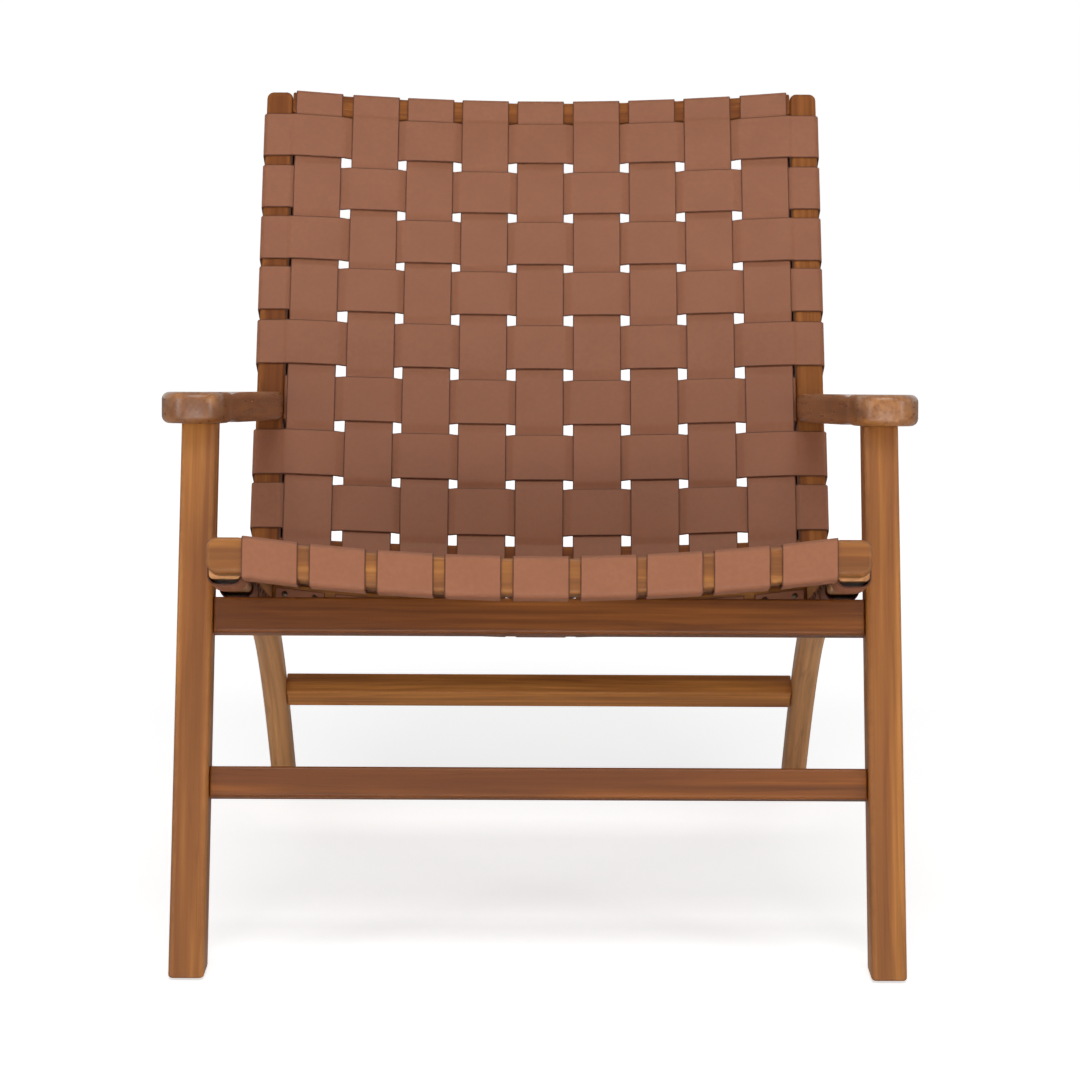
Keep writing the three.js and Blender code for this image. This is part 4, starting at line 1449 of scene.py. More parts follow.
    def seat_rail(self, side: Side) -> None:
        """A seat rail whose tail bends down into the rear leg, a little slimmer and further out.

        Args:
            side: The side of the chair.
        """
        sizes, course = self.sizes, self.seat_course
        bend = sizes.seat_length - sizes.rear_rail - sizes.front_rail
        grid = carry(
            BAR_SECTION,
            course,
            (sizes.member_width / 2, sizes.seat_member_depth / 2),
            (
                (0.0, self.member_ease), (bend, self.member_ease),
                (bend + self.rear_ease_run, self.rear_leg_ease),
            ),
            (fixed(0.0), lambda above: course.crossing(above, self.below_feet)),
            (Rounding.even(self.cut_ease), Rounding.even(self.foot_ease)),
            BENT_STEP,
        )
        bent = smooth_step((grid.reach - bend) / self.rear_blend)
        slimmer = grid.across * (1 - bent * self.rear_leg_slimming / sizes.member_width)
        moved = side.value * bent * (self.rear_leg_slimming / 2 + self.rear_leg_splay)
        middle = side.value * sizes.member_middle
        shaped = replace(grid, across=slimmer + moved)
        # The whole rail takes the paler teak, as painted light on its rear leg.
        self.carried_piece(f"seat_rail_{side.label}", shaped, course, middle, Look.BENT_LIT)

    def front_leg(self, side: Side) -> None:
        """A front leg, cut level under its foot and to the arm at its top.

        Args:
            side: The side of the chair.
        """
        sizes, plane = self.sizes, self.sizes.leg_plane
        half, (before, after) = sizes.leg_depth / 2, self.leg_line
        bolt = plane.read(sizes.bolt_place)
        beside = [bolt[0] - self.bore_room, bolt[0] + self.bore_room]
        course = Course(plane.flat(np.array([-before, *beside, after]), -half))

        def under_arm(place: Array) -> Array:
            """How far places lie above the arm's underside."""
            return sizes.arm_plane.read(place)[..., 1] + sizes.arm_thickness + sizes.clearance

        def foot(above: Array) -> Array:
            """Where the foot is cut."""
            return course.crossing(above, lambda place: -self.below_feet(place))

        grid = carry(
            BAR_SECTION,
            course,
            (sizes.leg_width / 2, half),
            ((0.0, self.leg_ease),),
            (foot, lambda above: course.crossing(above, under_arm)),
            (Rounding.even(self.foot_ease), Rounding.even(self.cut_ease)),
            STRAIGHT_STEP,
        )
        outward = (float(side.value), 0.0, 0.0)
        mouth = (side.value * sizes.leg_width / 2, float(bolt[0]) + before, float(bolt[1]) + half)
        depth = sizes.bolt_head_sink + sizes.bolt_head_height + sizes.clearance
        bore = Bore(mouth, outward, outward, BAR_FLATS[side], self.bolt_bore, depth)
        middle = side.value * (sizes.leg_inner + sizes.leg_outer) / 2
        self.carried_piece(f"front_leg_{side.label}", grid, course, middle, Look.LEG, bore)

    def back_stile(self, side: Side) -> None:
        """A back stile, cut to the seat rail that it stands on.

        Args:
            side: The side of the chair.
        """
        sizes, plane = self.sizes, self.sizes.back_plane
        half = sizes.back_member_depth / 2
        turn = sizes.arm_plane.rise - plane.rise
        way = (0.0, math.cos(turn), math.sin(turn))
        end = sizes.arm_plane.flat(0.0, -sizes.arm_thickness / 2)
        axis = plane.read(end) + np.array([0.0, half])
        depth = -(half + axis[1]) / way[2]
        exit_along = float(axis[0]) + depth * way[1]
        beside = [exit_along - self.bore_room, exit_along + self.bore_room]
        course = Course(plane.flat(np.array([0.0, *beside, sizes.back_length]), -half))
        rail = self.seat_course.points

        def off_rail(place: Array) -> Array:
            """How far places lie off the seat rail's surface."""
            apart = place[..., None, :] - rail[:-1]
            edge = np.diff(rail, axis=0)
            share = np.clip(np.sum(apart * edge, axis=-1) / np.sum(edge * edge, axis=-1), 0, 1)
            gap = apart - share[..., None] * edge
            surface = sizes.seat_member_depth / 2 + sizes.clearance
            return np.hypot(gap[..., 0], gap[..., 1]).min(axis=-1) - surface

        grid = carry(
            BAR_SECTION,
            course,
            (sizes.member_width / 2, half),
            ((0.0, self.member_ease),),
            (lambda above: course.crossing(above, off_rail), fixed(sizes.back_length)),
            (Rounding.even(self.cut_ease), self.stile_top),
            STRAIGHT_STEP,
        )
        mouth, rearward, sunk = (0.0, exit_along, -half), (0.0, 0.0, -1.0), depth - sizes.screw_wood
        bore = Bore(mouth, way, rearward, BAR_REAR_FLAT, self.screw_bore, sunk)
        middle = side.value * sizes.member_middle
        # The stile takes the darker teak, as painted shade.
        self.carried_piece(f"back_stile_{side.label}", grid, course, middle, Look.STILE, bore)

    def arm(self, side: Side) -> None:
        """An arm: a bar at the stile that widens to a rounded paddle over the front leg.

        Each side of its plan is three quadratic curves, and its rear end is sheared to the stile.
        Behind the leg it is pinched by pinch * exp(-(distance / length)^2) above and below.

        Args:
            side: The side of the chair.
        """
        sizes, plane = self.sizes, self.sizes.arm_plane
        leg = sizes.leg_plane
        under = [plane.read(leg.flat(along, -sizes.leg_depth / 2)) for along in (0.0, 1.0)]
        share = (-sizes.arm_thickness - under[0][1]) / (under[1][1] - under[0][1])
        tip = under[0][0] + share * (under[1][0] - under[0][0]) - self.arm_front_reach
        wide, neck = tip + self.arm_paddle_length, tip + self.arm_neck_distance
        inner = sizes.leg_inner - self.arm_inner_overhang
        outer = sizes.leg_outer + self.arm_outer_overhang
        middle = (inner + outer) / 2
        lines = []
        for root, paddle, neck_step in (
            (sizes.member_inner, inner, self.arm_neck_inner_step),
            (sizes.frame_half_width, outer, -self.arm_neck_outer_step),
        ):
            narrow = (paddle + neck_step, neck)
            bar = bezier(((root, 0), (root, neck / 2), narrow), ARM_STEPS[0])
            flare = bezier((narrow, (paddle, (neck + wide) / 2), (paddle, wide)), ARM_STEPS[1])
            nose = bezier(((paddle, wide), (paddle, tip), (middle, tip)), ARM_STEPS[2])[:-1]
            lines.append(np.vstack([bar, flare[1:], nose[1:]]))
        slab = eased_slab(lines[0], lines[1], sizes.arm_thickness, self.arm_ease)
        across, along = slab.outline[..., 0], slab.outline[..., 1]
        off_pinch = (along - neck - self.arm_pinch_place) / self.arm_pinch_length
        pinch = self.arm_pinch * np.exp(-(off_pinch**2))
        middle_height = sizes.arm_thickness / 2
        above = (slab.height - middle_height) * (1 - pinch / middle_height) - middle_height
        apart = sizes.back_plane.rise - plane.rise
        shear = above / math.tan(apart) - sizes.clearance / math.sin(apart)
        sheared = along + shear * np.clip(1 + along / self.arm_shear_run, 0, 1)
        points = in_chair(side.value * across, plane.flat(sheared, above))
        places = (across - middle, along, above)
        self.slab_piece(f"arm_{side.label}", slab, points, places, Look.ARM)

    def rail_top(self, end: float, dish: float) -> Array:
        """The dished face of a rail.

        Args:
            end: How far from the middle it ends.
            dish: How deep its middle lies.

        Returns:
            Places across and above, one a row.
        """
        corners = self.sizes.dish_corners
        turns = corners[np.abs(corners) <= end]
        across = np.union1d(np.linspace(-end, end, RAIL_STATIONS), turns)
        level = np.interp(across, corners, self.sizes.dish_at(corners, dish))
        return np.stack([across, level], axis=1)

    def rail_piece(self, node: str, top: Array, under: Array, span: Pair) -> None:
        """A rail drawn across the chair and above its panel's plane, over a span along it.

        Args:
            node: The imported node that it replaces.
            top: The rail's face, as places across and above.
            under: Its underside, point for point.
            span: The span along the plane.
        """
        is_seat = node.startswith("seat")
        plane = self.sizes.seat_plane if is_seat else self.sizes.back_plane
        slab = eased_slab(top, under, span[1] - span[0], self.rail_ease)
        across, above = slab.outline[..., 0], slab.outline[..., 1]
        points = in_chair(across, plane.flat(span[0] + slab.height, above))
        # The seat's rails take the rail teak; the back's rails take the darker teak, as painted
        # shade.
        look = Look.RAIL if is_seat else Look.STILE
        self.slab_piece(node, slab, points, (above, across, slab.height), look)

    def end_rail(self, node: str, span: Pair) -> None:
        """A dished rail between the side members.

        Args:
            node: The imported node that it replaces.
            span: The rail's span along its panel's plane.
        """
        is_seat = node.startswith("seat")
        dish = self.seat_dish if is_seat else self.back_dish
        height = self.seat_rail_height if is_seat else self.back_rail_height
        top = self.rail_top(self.sizes.member_inner - self.sizes.clearance, dish)
        self.rail_piece(node, top, top - np.array([0, height]), span)

    def front_rail(self) -> None:
        """The seat's front rail, with rounded ends that show beyond the straps."""
        sizes, radius = self.sizes, self.rail_end_radius
        inside = self.rail_top(sizes.member_inner, self.seat_dish)
        centre = (sizes.frame_half_width - radius, -radius)
        end = arc(centre, radius, math.pi / 2, 0.0, RAIL_END_STEPS)
        start = end[::-1] * np.array([-1, 1])
        height = np.array([0, self.seat_rail_height])
        turned = [part * np.array([1, -1]) for part in (start, end)]
        under = np.vstack([turned[0], inside, turned[1]]) - height
        top = np.vstack([start, inside, end])
        self.rail_piece("seat_front_rail", top, under, (0.0, sizes.front_rail))

    def bar_piece(self, node: str, plane: SidePlane, level: Pair, size: Spot, look: Look) -> None:
        """A straight bar across the chair with rounded long edges.

        Args:
            node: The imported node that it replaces.
            plane: The plane that its height and thickness follow.
            level: Its middle along and above the plane.
            size: Half its length, its height along the plane and its thickness above it.
            look: Its finish.
        """
        half_width, height, thickness = size
        across = np.linspace(-half_width, half_width, BAR_STATIONS)
        top = np.stack([across, np.full(across.size, height / 2)], axis=1)
        slab = eased_slab(top, top * np.array([1, -1]), thickness, self.bar_ease)
        across, along = slab.outline[..., 0], slab.outline[..., 1]
        place = plane.flat(level[0] + along, level[1] + slab.height - thickness / 2)
        self.slab_piece(node, slab, in_chair(across, place), (along, across, slab.height), look)

    def front_bar(self, node: str, level: float, height: float) -> None:
        """A bar between the front legs, in the middle of their depth.

        Args:
            node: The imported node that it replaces.
            level: Its middle along the legs.
            height: Its height.
        """
        place = (level, -self.sizes.leg_depth / 2)
        size = (self.sizes.leg_inner - self.sizes.clearance, height, self.bar_thickness)
        self.bar_piece(node, self.sizes.leg_plane, place, size, Look.BAR)

    def rear_bar(self) -> None:
        """The bar between the rear legs, square to their middle line."""
        curve = self.sizes.rear_leg_curve
        after = int(np.argmax(curve[:, 1] < self.rear_stretcher_level))
        way = curve[after] - curve[after - 1]
        share = (self.rear_stretcher_level - curve[after - 1, 1]) / way[1]
        place = curve[after - 1] + share * way
        plane = SidePlane(float(place[0]), float(place[1]), math.atan2(way[1], way[0]))
        moved = self.rear_leg_slimming + self.rear_leg_splay - self.sizes.clearance
        half_width = self.sizes.member_inner + moved
        size = (half_width, self.rear_stretcher_height, self.rear_stretcher_thickness)
        # The rear stretcher takes the lighter teak, as painted light.
        self.bar_piece("rear_stretcher", plane, (0.0, 0.0), size, Look.BRACE_LIT)


# ---- Straps


@dataclass
class WovenPanel:
    """A seat or back of long and cross straps in a plain weave over dished rails."""

    name: str
    shop: Workshop
    sizes: ChairSizes
    plane: SidePlane
    row: StrapRow
    from_top: bool
    turned: int
    dish: float
    member_depth: float
    rail_height: float
    start_rail: Pair
    end_rail: Pair
    thickness: float = 0.0018
    edge_radius: float = 0.0009
    wood_ease: float = 0.003
    turned_margin: float = 0.006
    turned_radius: float = 0.0029
    fold_radius: float = 0.0069
    fold_sag: float = 0.0010
    hem: float = 0.014
    slack: float = 0.0
    drift: tuple[float, ...] = ()
    sway: tuple[float, ...] = ()
    long_hem: float = 0.026
    long_sag: float = 0.0018
    tack_from_end: float = 0.006
    tack_radius: float = 0.0032
    tack_height: float = 0.0011
    tack_beside: float = 0.3
    crown: float = 0.0003
    end_ease: float = 0.0004
    rest: float = 0.002
    turned_rest: float = 0.02
    arc_steps: int = 8
    step: float = 0.0022

    @property
    def lift(self) -> float:
        """From the wood to the middle of a strap on it."""
        return self.sizes.clearance + self.thickness / 2

    @property
    def weave(self) -> float:
        """From the middle of the weave to the middle of a strap in it."""
        return (self.sizes.clearance + self.thickness) / 2

    @property
    def cross_places(self) -> Array:
        """The middles of the cross straps, in their order of number."""
        places = self.row.places[::-1] if self.from_top else self.row.places
        return places + (np.array(self.drift) if self.drift else 0.0)

    @property
    def long_places(self) -> Array:
        """The middles of the long straps, from the left."""
        return self.sizes.long_row.places + (np.array(self.sway) if self.sway else 0.0)

    def tautness(self, along: Array) -> Array:
        """The share of the rails' dish that the weave keeps, 1 - slack * (1 - (2 s - 1)^4).

        Args:
            along: Places along the panel.

        Returns:
            The shares.
        """
        room = self.end_rail[0] - self.start_rail[1]
        share = np.clip((along - self.start_rail[1]) / room, 0, 1)
        return 1 - self.slack * (1 - (2 * share - 1) ** 4)

    def build(self) -> None:
        """Builds the long straps, the cross straps and the nails at their ends."""
        tacks = [self.long_strap(column) for column in range(1, self.sizes.long_row.count + 1)]
        tacks += [self.cross_strap(number) for number in range(1, self.row.count + 1)]
        points = np.concatenate(tacks)
        faces = domes(np.zeros((len(points), 2)), 1.0, 1.0)[1]
        points = points.reshape(-1, 3)
        reads = (points, np.zeros(len(points)))
        self.shop.piece(f"{self.name}_strap_tacks", points, faces, reads, Look.NAIL, Slot.STEEL)

    def facet(self, column: int) -> Spot:
        """The flat that a long strap lies on.

        Args:
            column: The strap's number, from the left.

        Returns:
            Its middle across the chair, its level and its tilt.
        """
        row = self.sizes.long_row
        drawn, middle = float(row.places[column - 1]), float(self.long_places[column - 1])
        edges = (drawn - row.pitch / 2, drawn + row.pitch / 2)
        left, right = (float(self.sizes.dish_at(edge, self.dish)) for edge in edges)
        tilt = (right - left) / row.pitch
        return middle, (left + right) / 2 + (middle - drawn) * tilt, math.atan(tilt)

    def woven(
        self, at: Array, places: Array, signs: Array, half: float, ends: Pair
    ) -> Array:
        """How far a strap's middle line lies off the wood's level.

        It is level at sign * weave over each crossing, swelled there by crown * (1 - share^2),
        and passes from one crossing to the next by a smooth step.

        Args:
            at: Places along the strap.
            places: The middles of the crossings.
            signs: +1 where the strap is on the sitter's side and -1 where it is behind.
            half: Half the width that a crossing takes.
            ends: Where the strap comes onto the wood at both ends.

        Returns:
            The offsets.
        """
        crossings = np.stack([places - half, places + half], axis=1).ravel()
        knots = np.concatenate([ends[:1], crossings, ends[1:]])
        levels = np.concatenate([[0.0], np.repeat(signs * self.weave, 2), [0.0]])
        index = np.clip(np.searchsorted(knots, at) - 1, 0, knots.size - 2)
        share = (at - knots[index]) / (knots[index + 1] - knots[index])
        rise = levels[index] + (levels[index + 1] - levels[index]) * smooth_step(share)
        nearest = np.argmin(np.abs(at[:, None] - places[None, :]), axis=1)
        inside = (at - places[nearest]) / half
        swell = signs[nearest] * self.crown * np.clip(1 - inside * inside, 0, 1)
        return rise + swell

    def wrap(self, outer: float, inner: float, depth: float, way: int) -> Array:
        """A strap's end round a rail: down its inner face, under it, up outside and onto its face.

        Args:
            outer: The wood's outer edge.
            inner: Its inner edge.
            depth: Its depth below the face.
            way: +1 where the strap then runs towards larger places, -1 where it runs back.

        Returns:
            The points of the middle line.
        """
        outward = math.pi if way > 0 else 0.0
        quarter = way * math.pi / 2
        ease, radius = self.wood_ease, self.wood_ease + self.lift
        centre, under = outer + way * ease, ease - depth - self.long_sag
        end, inward = [[inner + way * self.lift, self.long_hem - depth]], outward - math.pi
        centre_in = (inner - way * ease, under)
        inner_low = arc(centre_in, radius, inward, inward - quarter, self.arc_steps)
        low = arc((centre, under), radius, outward + quarter, outward, self.arc_steps)
        high = arc((centre, -ease), radius, outward, outward - quarter, self.arc_steps)
        return np.vstack([end, inner_low, low, high])

    def tack_places(self, course: Course, width: float, way: float = 1.0) -> Array:
        """The tacks of a strap: two near each end, on the side of the strap off the wood.

        Args:
            course: The strap's middle line.
            width: Its width.
            way: +1 where the wood is to the right of the line, -1 where it is to the left.

        Returns:
            Places across, along and off the strap, a row for each tack.
        """
        ends = (self.tack_from_end, course.length - self.tack_from_end)
        beside = (-self.tack_beside * width, self.tack_beside * width)
        middles = np.array([[across, reach] for reach in ends for across in beside])
        placed = domes(middles, self.tack_radius, self.tack_height)[0]
        placed[..., 2] = way * (placed[..., 2] + self.thickness / 2)
        return placed

    def side_wrap(self) -> Array:
        """A cross strap's left end: down the member's inner face, loosely under it and up outside.

        Returns:
            The points of the middle line, as far as the member's face.
        """
        sizes, radius = self.sizes, self.fold_radius
        inner, outer = -sizes.member_inner + self.lift, -sizes.frame_half_width - self.lift
        under = -self.member_depth - self.lift - self.fold_sag
        end = [[inner, self.hem - self.member_depth]]
        quarter, steps = math.pi / 2, self.arc_steps
        first = arc((inner - radius, under + radius), radius, 0.0, -quarter, steps)
        second = arc((outer + radius, under + radius), radius, -quarter, -math.pi, steps)
        bend = self.wood_ease + self.lift
        third = arc((outer + bend, self.lift - bend), bend, math.pi, quarter, steps)
        return np.vstack([end, first, second, third])

    def strap_grid(self, course: Course, width: float) -> Grid:
        """The strap's section carried along its middle line, rounded at its two edges.

        Args:
            course: The line.
            width: The strap's width.

        Returns:
            The grid.
        """
        half, radius = (width / 2, self.thickness / 2), ((0.0, self.edge_radius),)
        ends, cut = (fixed(0.0), fixed(course.length)), Rounding.even(self.end_ease)
        return carry(STRAP_SECTION, course, half, radius, ends, (cut, cut), self.step)

    def leather_piece(self, node: str, points: Array, grid: Grid) -> None:
        """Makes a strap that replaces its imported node.

        Args:
            node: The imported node.
            points: The strap's points in the chair.
            grid: The strap's section, carried along its middle line.
        """
        lot = self.shop.lot() * np.array(STRAP_LOT)
        reads, faces = (grid.material_places + lot, grid.edge), tube_faces(*grid.across.shape)
        self.shop.piece(f"leather_{node}", points, faces, reads, Look.LEATHER, Slot.LEATHER, [node])

    def long_strap(self, column: int) -> Array:
        """A strap from the panel's start rail to its end rail.

        Args:
            column: Its number, from the left.

        Returns:
            The points of its tacks.
        """
        middle, level, tilt = self.facet(column)
        start = self.wrap(*self.start_rail, self.rail_height, 1)
        end = self.wrap(*self.end_rail[::-1], self.rail_height, -1)[::-1]
        places = np.sort(self.cross_places)
        numbers = np.argsort(self.cross_places) + 1
        signs = np.where((column + numbers) % 2 == 1, 1.0, -1.0)
        on_wood = (self.start_rail[1] - self.rest, self.end_rail[0] + self.rest)
        bounds = (self.start_rail[0] + self.wood_ease, self.end_rail[1] - self.wood_ease)
        along = np.arange(*bounds, self.step)[1:]
        half = self.row.width / 2 + self.sizes.clearance
        offset = self.lift + self.woven(along, places, signs, half, on_wood)
        course = Course(np.vstack([start, np.stack([along, offset], axis=1), end]))
        width = self.sizes.long_row.width
        grid = self.strap_grid(course, width)

        def laid(across: Array, place: Array) -> Array:
            """Points of the chair, from places across the strap and in its side view."""
            kept = self.tautness(place[..., 0])
            raised = level * kept + across * np.sin(tilt * kept) + place[..., 1]
            side_view = self.plane.flat(place[..., 0], raised)
            return in_chair(middle + across * np.cos(tilt * kept), side_view)

        self.leather_piece(f"{self.name}_strap_{column}", laid(grid.across, grid.place), grid)
        tacks = self.tack_places(course, width)
        return laid(tacks[..., 0], course.at(tacks[..., 1], tacks[..., 2]))

    def cross_strap(self, number: int) -> Array:
        """A strap across the panel, round the side members or down inside them.

        Args:
            number: Its number, in the panel's order.

        Returns:
            The points of its tacks.
        """
        sizes, row = self.sizes, self.sizes.long_row
        columns = np.arange(1, row.count + 1)
        signs = np.where((columns + number) % 2 == 1, -1.0, 1.0)
        half = row.width / 2 + sizes.clearance
        corners = sizes.dish_corners
        levels = sizes.dish_at(corners, self.dish)
        is_turned = number == self.turned
        if is_turned:
            outer = sizes.member_inner - self.lift - self.turned_radius
            end = outer + self.turned_rest
        else:
            outer = sizes.frame_half_width - self.wood_ease
            end = sizes.member_inner + self.rest
        across = np.linspace(-outer, outer, math.ceil(2 * outer / self.step) + 1)
        dished = np.interp(across, corners, levels, left=0.0, right=0.0)
        reach = np.arange(-BLUR_STEPS, BLUR_STEPS + 1)
        weights = np.exp(-reach * reach / BLUR_STEPS)
        padded = np.pad(dished, BLUR_STEPS, mode="edge")
        level = np.convolve(padded, weights / weights.sum(), mode="valid")
        lift = self.lift + self.woven(across, self.long_places, signs, half, (-end, end))
        face = np.stack([across, level + lift], axis=1)
        if is_turned:
            centre = (-outer, float(face[0, 1]) - self.turned_radius)
            bend = arc(centre, self.turned_radius, math.pi, math.pi / 2, self.arc_steps)
            foot = [[-outer - self.turned_radius, self.turned_margin - self.member_depth]]
            start = np.vstack([foot, bend])
        else:
            start = self.side_wrap()
        course = Course(np.vstack([start, face[1:-1], start[::-1] * np.array([-1, 1])]))
        grid = self.strap_grid(course, self.row.width)
        middle = float(self.cross_places[number - 1])

        def laid(beside: Array, place: Array) -> Array:
            """Points of the chair, from places across the strap and in its front view."""
            along = middle - beside
            dish = np.interp(place[..., 0], across, level)
            above = place[..., 1] + dish * (self.tautness(along) - 1)
            return in_chair(place[..., 0], self.plane.flat(along, above))

        self.leather_piece(f"{self.name}_cross_strap_{number}", laid(grid.across, grid.place), grid)
        tacks = self.tack_places(course, self.row.width, -1.0 if is_turned else 1.0)
        return laid(tacks[..., 0], course.at(tacks[..., 1], tacks[..., 2]))


# ---- Hardware


@dataclass(frozen=True)
class ScrewHead:
    """A round head with a hexagon socket. Drops are below its top and steps are inwards.

    rim holds the drop and the step of each corner of its outer edge. lip is the socket's
    chamfer, as a step outwards and a drop, and lip_hexagon the share of a hexagon at its top.
    """

    radius: float
    under_ease: float
    rim: tuple[Pair, ...]
    socket: float
    lip: Pair
    socket_drop: float
    tip_drop: float
    tip_share: float = 0.3
    lip_hexagon: float = 0.4
    shank_end: float = 0.0003

    def rows(self, under: float, top: float, shank: float) -> list[Row]:
        """Lists the profile's rows, from the end of the shank to the bottom of the socket.

        Args:
            under: Where the head starts on its axis.
            top: Where it ends.
            shank: The radius of the shank.

        Returns:
            The rows.
        """
        return [
            (under - self.shank_end, shank, 0, 0),
            (under, shank, 0, 0),
            (under, self.radius - self.under_ease, 0, 0),
            (under + self.under_ease, self.radius, 0, 0),
            *((top - drop, self.radius - step, 0, 0) for drop, step in self.rim),
            (top, self.socket + self.lip[0], self.lip_hexagon, 0),
            (top - self.lip[1], self.socket, 1, 0),
            (top - self.socket_drop, self.socket, 1, 0),
            (top - self.tip_drop, self.socket * self.tip_share, 0, 0),
        ]


@dataclass
class Hardware:
    """The leg bolts and spacers, the arm screws and the glides."""

    sizes: ChairSizes
    shop: Workshop
    bolt_radius: float = 0.004
    bolt_grip: float = 0.018
    bolt_thread: float = 0.016
    bolt_pitch: float = 0.00125
    bolt_head: ScrewHead = ScrewHead(
        0.009, 0.0004, ((0.0009, 0), (0.0003, 0.0003), (0, 0.001)),
        0.0036, (0.0006, 0.0004), 0.0032, 0.0040,
    )
    spacer_radius: float = 0.011
    spacer_ease: float = 0.0004
    screw_radius: float = 0.003
    screw_head_height: float = 0.004
    screw_grip: float = 0.034
    screw_thread_end: float = 0.004
    screw_pitch: float = 0.0026
    screw_head: ScrewHead = ScrewHead(
        0.006, 0.0003, ((0.0006, 0), (0, 0.0007)), 0.0025, (0.0005, 0.0003), 0.0026, 0.0031
    )
    thread_depth: float = 0.0006
    glide_radius: float = 0.011
    glide_rim: tuple[Pair, ...] = ((0.0, 0.0008), (0.0002, 0.0003), (0.0006, 0.0))
    glide_top_ease: float = 0.0004
    spike_length: float = 0.010
    spike_radius: float = 0.0015
    spike_point: float = 0.002
    spike_tip: float = 0.0003

    def build(self) -> None:
        """Builds the hardware of both sides."""
        sizes, curve = self.sizes, self.sizes.rear_leg_curve
        front = sizes.leg_depth_at(sizes.glide_height)
        way = curve[-1] - curve[-2]
        rear = float(curve[-1, 0] + way[0] / way[1] * sizes.glide_height)
        for side in Side:
            self.bolt(side)
            self.spacer(side)
            self.arm_screw(side)
            leg_middle = side.value * (sizes.leg_inner + sizes.leg_outer) / 2
            self.glide(f"glide_front_{side.label}", leg_middle, front)
            self.glide(f"glide_rear_{side.label}", side.value * sizes.member_middle, rear)

    def turned_piece(
        self, node: str, turned: Turned, frame_of: tuple[Array, Array], is_ring: bool = False
    ) -> None:
        """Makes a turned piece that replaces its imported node.

        Args:
            node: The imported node.
            turned: Its shape.
            frame_of: Where its axis starts, and the three ways of its grid as rows.
            is_ring: Whether its profile closes on itself round a hole.
        """
        grid = turned.grid
        rows, columns = grid.shape[:2]
        points = frame_of[0] + grid @ frame_of[1]
        faces = tube_faces(rows, columns)
        if is_ring:
            first = np.arange(columns)
            last = first + (rows - 1) * columns
            quads = np.stack([last, np.roll(last, -1), np.roll(first, -1), first], axis=1)
            faces = faces[:-2] + quads.tolist()
        is_glide = node.startswith("glide")
        look, slot = (Look.NYLON, Slot.GLIDE) if is_glide else (Look.STEEL, Slot.STEEL)
        reads = (grid.reshape(-1, 3) + self.shop.lot(TURNED_LOT), np.zeros(rows * columns))
        self.shop.piece(f"turned_{node}", points, faces, reads, look, slot, [node])

    def across_axis(self, side: Side) -> tuple[Array, Array]:
        """The axis of a leg bolt, outwards from the middle of the chair."""
        start = in_chair(np.zeros(()), self.sizes.bolt_place)
        return start, np.array([[side.value, 0.0, 0.0], [0.0, side.value, 0.0], [0.0, 0.0, 1.0]])

    @staticmethod
    def threaded(
        start: float, end: float, radius: float, depth: float, pitch: float
    ) -> list[Row]:
        """The profile's rows of a threaded length, six to a turn, with the thread fading in.

        Args:
            start: Where the point of the screw lies on its axis.
            end: Where the thread ends.
            radius: The radius over the thread.
            depth: The thread's depth.
            pitch: The length of one turn.

        Returns:
            The rows.
        """
        along = np.linspace(start, end, int((end - start) / pitch * THREAD_ROWS))
        tip = np.clip((along - start) / (radius * TAPER_LENGTH), 0, 1)
        sizes = radius * (TAPER_TIP + (1 - TAPER_TIP) * tip)
        depths = depth * np.clip((end - along) / pitch, 0, 1) * tip
        return list(zip(along.tolist(), sizes.tolist(), (0 * along).tolist(), depths.tolist()))

    def bolt(self, side: Side) -> None:
        """A cap bolt with a hexagon socket, through a leg into its seat rail."""
        sizes = self.sizes
        tip = sizes.frame_half_width - self.bolt_grip
        top = sizes.leg_outer - sizes.bolt_head_sink
        head = self.bolt_head.rows(top - sizes.bolt_head_height, top, self.bolt_radius)
        thread = self.threaded(
            tip, tip + self.bolt_thread, self.bolt_radius, self.thread_depth, self.bolt_pitch
        )
        turned = Turned((*thread, *head), self.bolt_pitch)
        self.turned_piece(f"seat_bolt_{side.label}", turned, self.across_axis(side))

    def spacer(self, side: Side) -> None:
        """The ring between a leg and its seat rail."""
        sizes, outer, ease = self.sizes, self.spacer_radius, self.spacer_ease
        low, high = sizes.frame_half_width + sizes.clearance, sizes.leg_inner - sizes.clearance
        inner = self.bolt_radius + sizes.clearance
        corners = (
            (low, inner + ease), (low, outer - ease), (low + ease, outer), (high - ease, outer),
            (high, outer - ease), (high, inner + ease), (high - ease, inner), (low + ease, inner),
        )
        ring = Turned.smooth(corners)
        self.turned_piece(f"leg_spacer_{side.label}", ring, self.across_axis(side), True)

    def arm_screw(self, side: Side) -> None:
        """A screw from behind a stile into its arm, with a hexagon socket in its head."""
        sizes, under = self.sizes, self.sizes.screw_wood
        head = self.screw_head.rows(under, under + self.screw_head_height, self.screw_radius)
        thread = self.threaded(
            -self.screw_grip, self.screw_thread_end, self.screw_radius, self.thread_depth,
            self.screw_pitch,
        )
        plane = sizes.arm_plane
        middle = np.full((), side.value * sizes.member_middle)
        start = in_chair(middle, plane.flat(0.0, -sizes.arm_thickness / 2))
        cos, sin = math.cos(plane.rise), math.sin(plane.rise)
        ways = np.array([[0.0, cos, sin], [float(side.value), 0.0, 0.0], [0.0, -sin, cos]])
        turned = Turned((*thread, *head), self.screw_pitch)
        self.turned_piece(f"arm_screw_{side.label}", turned, (start, ways))

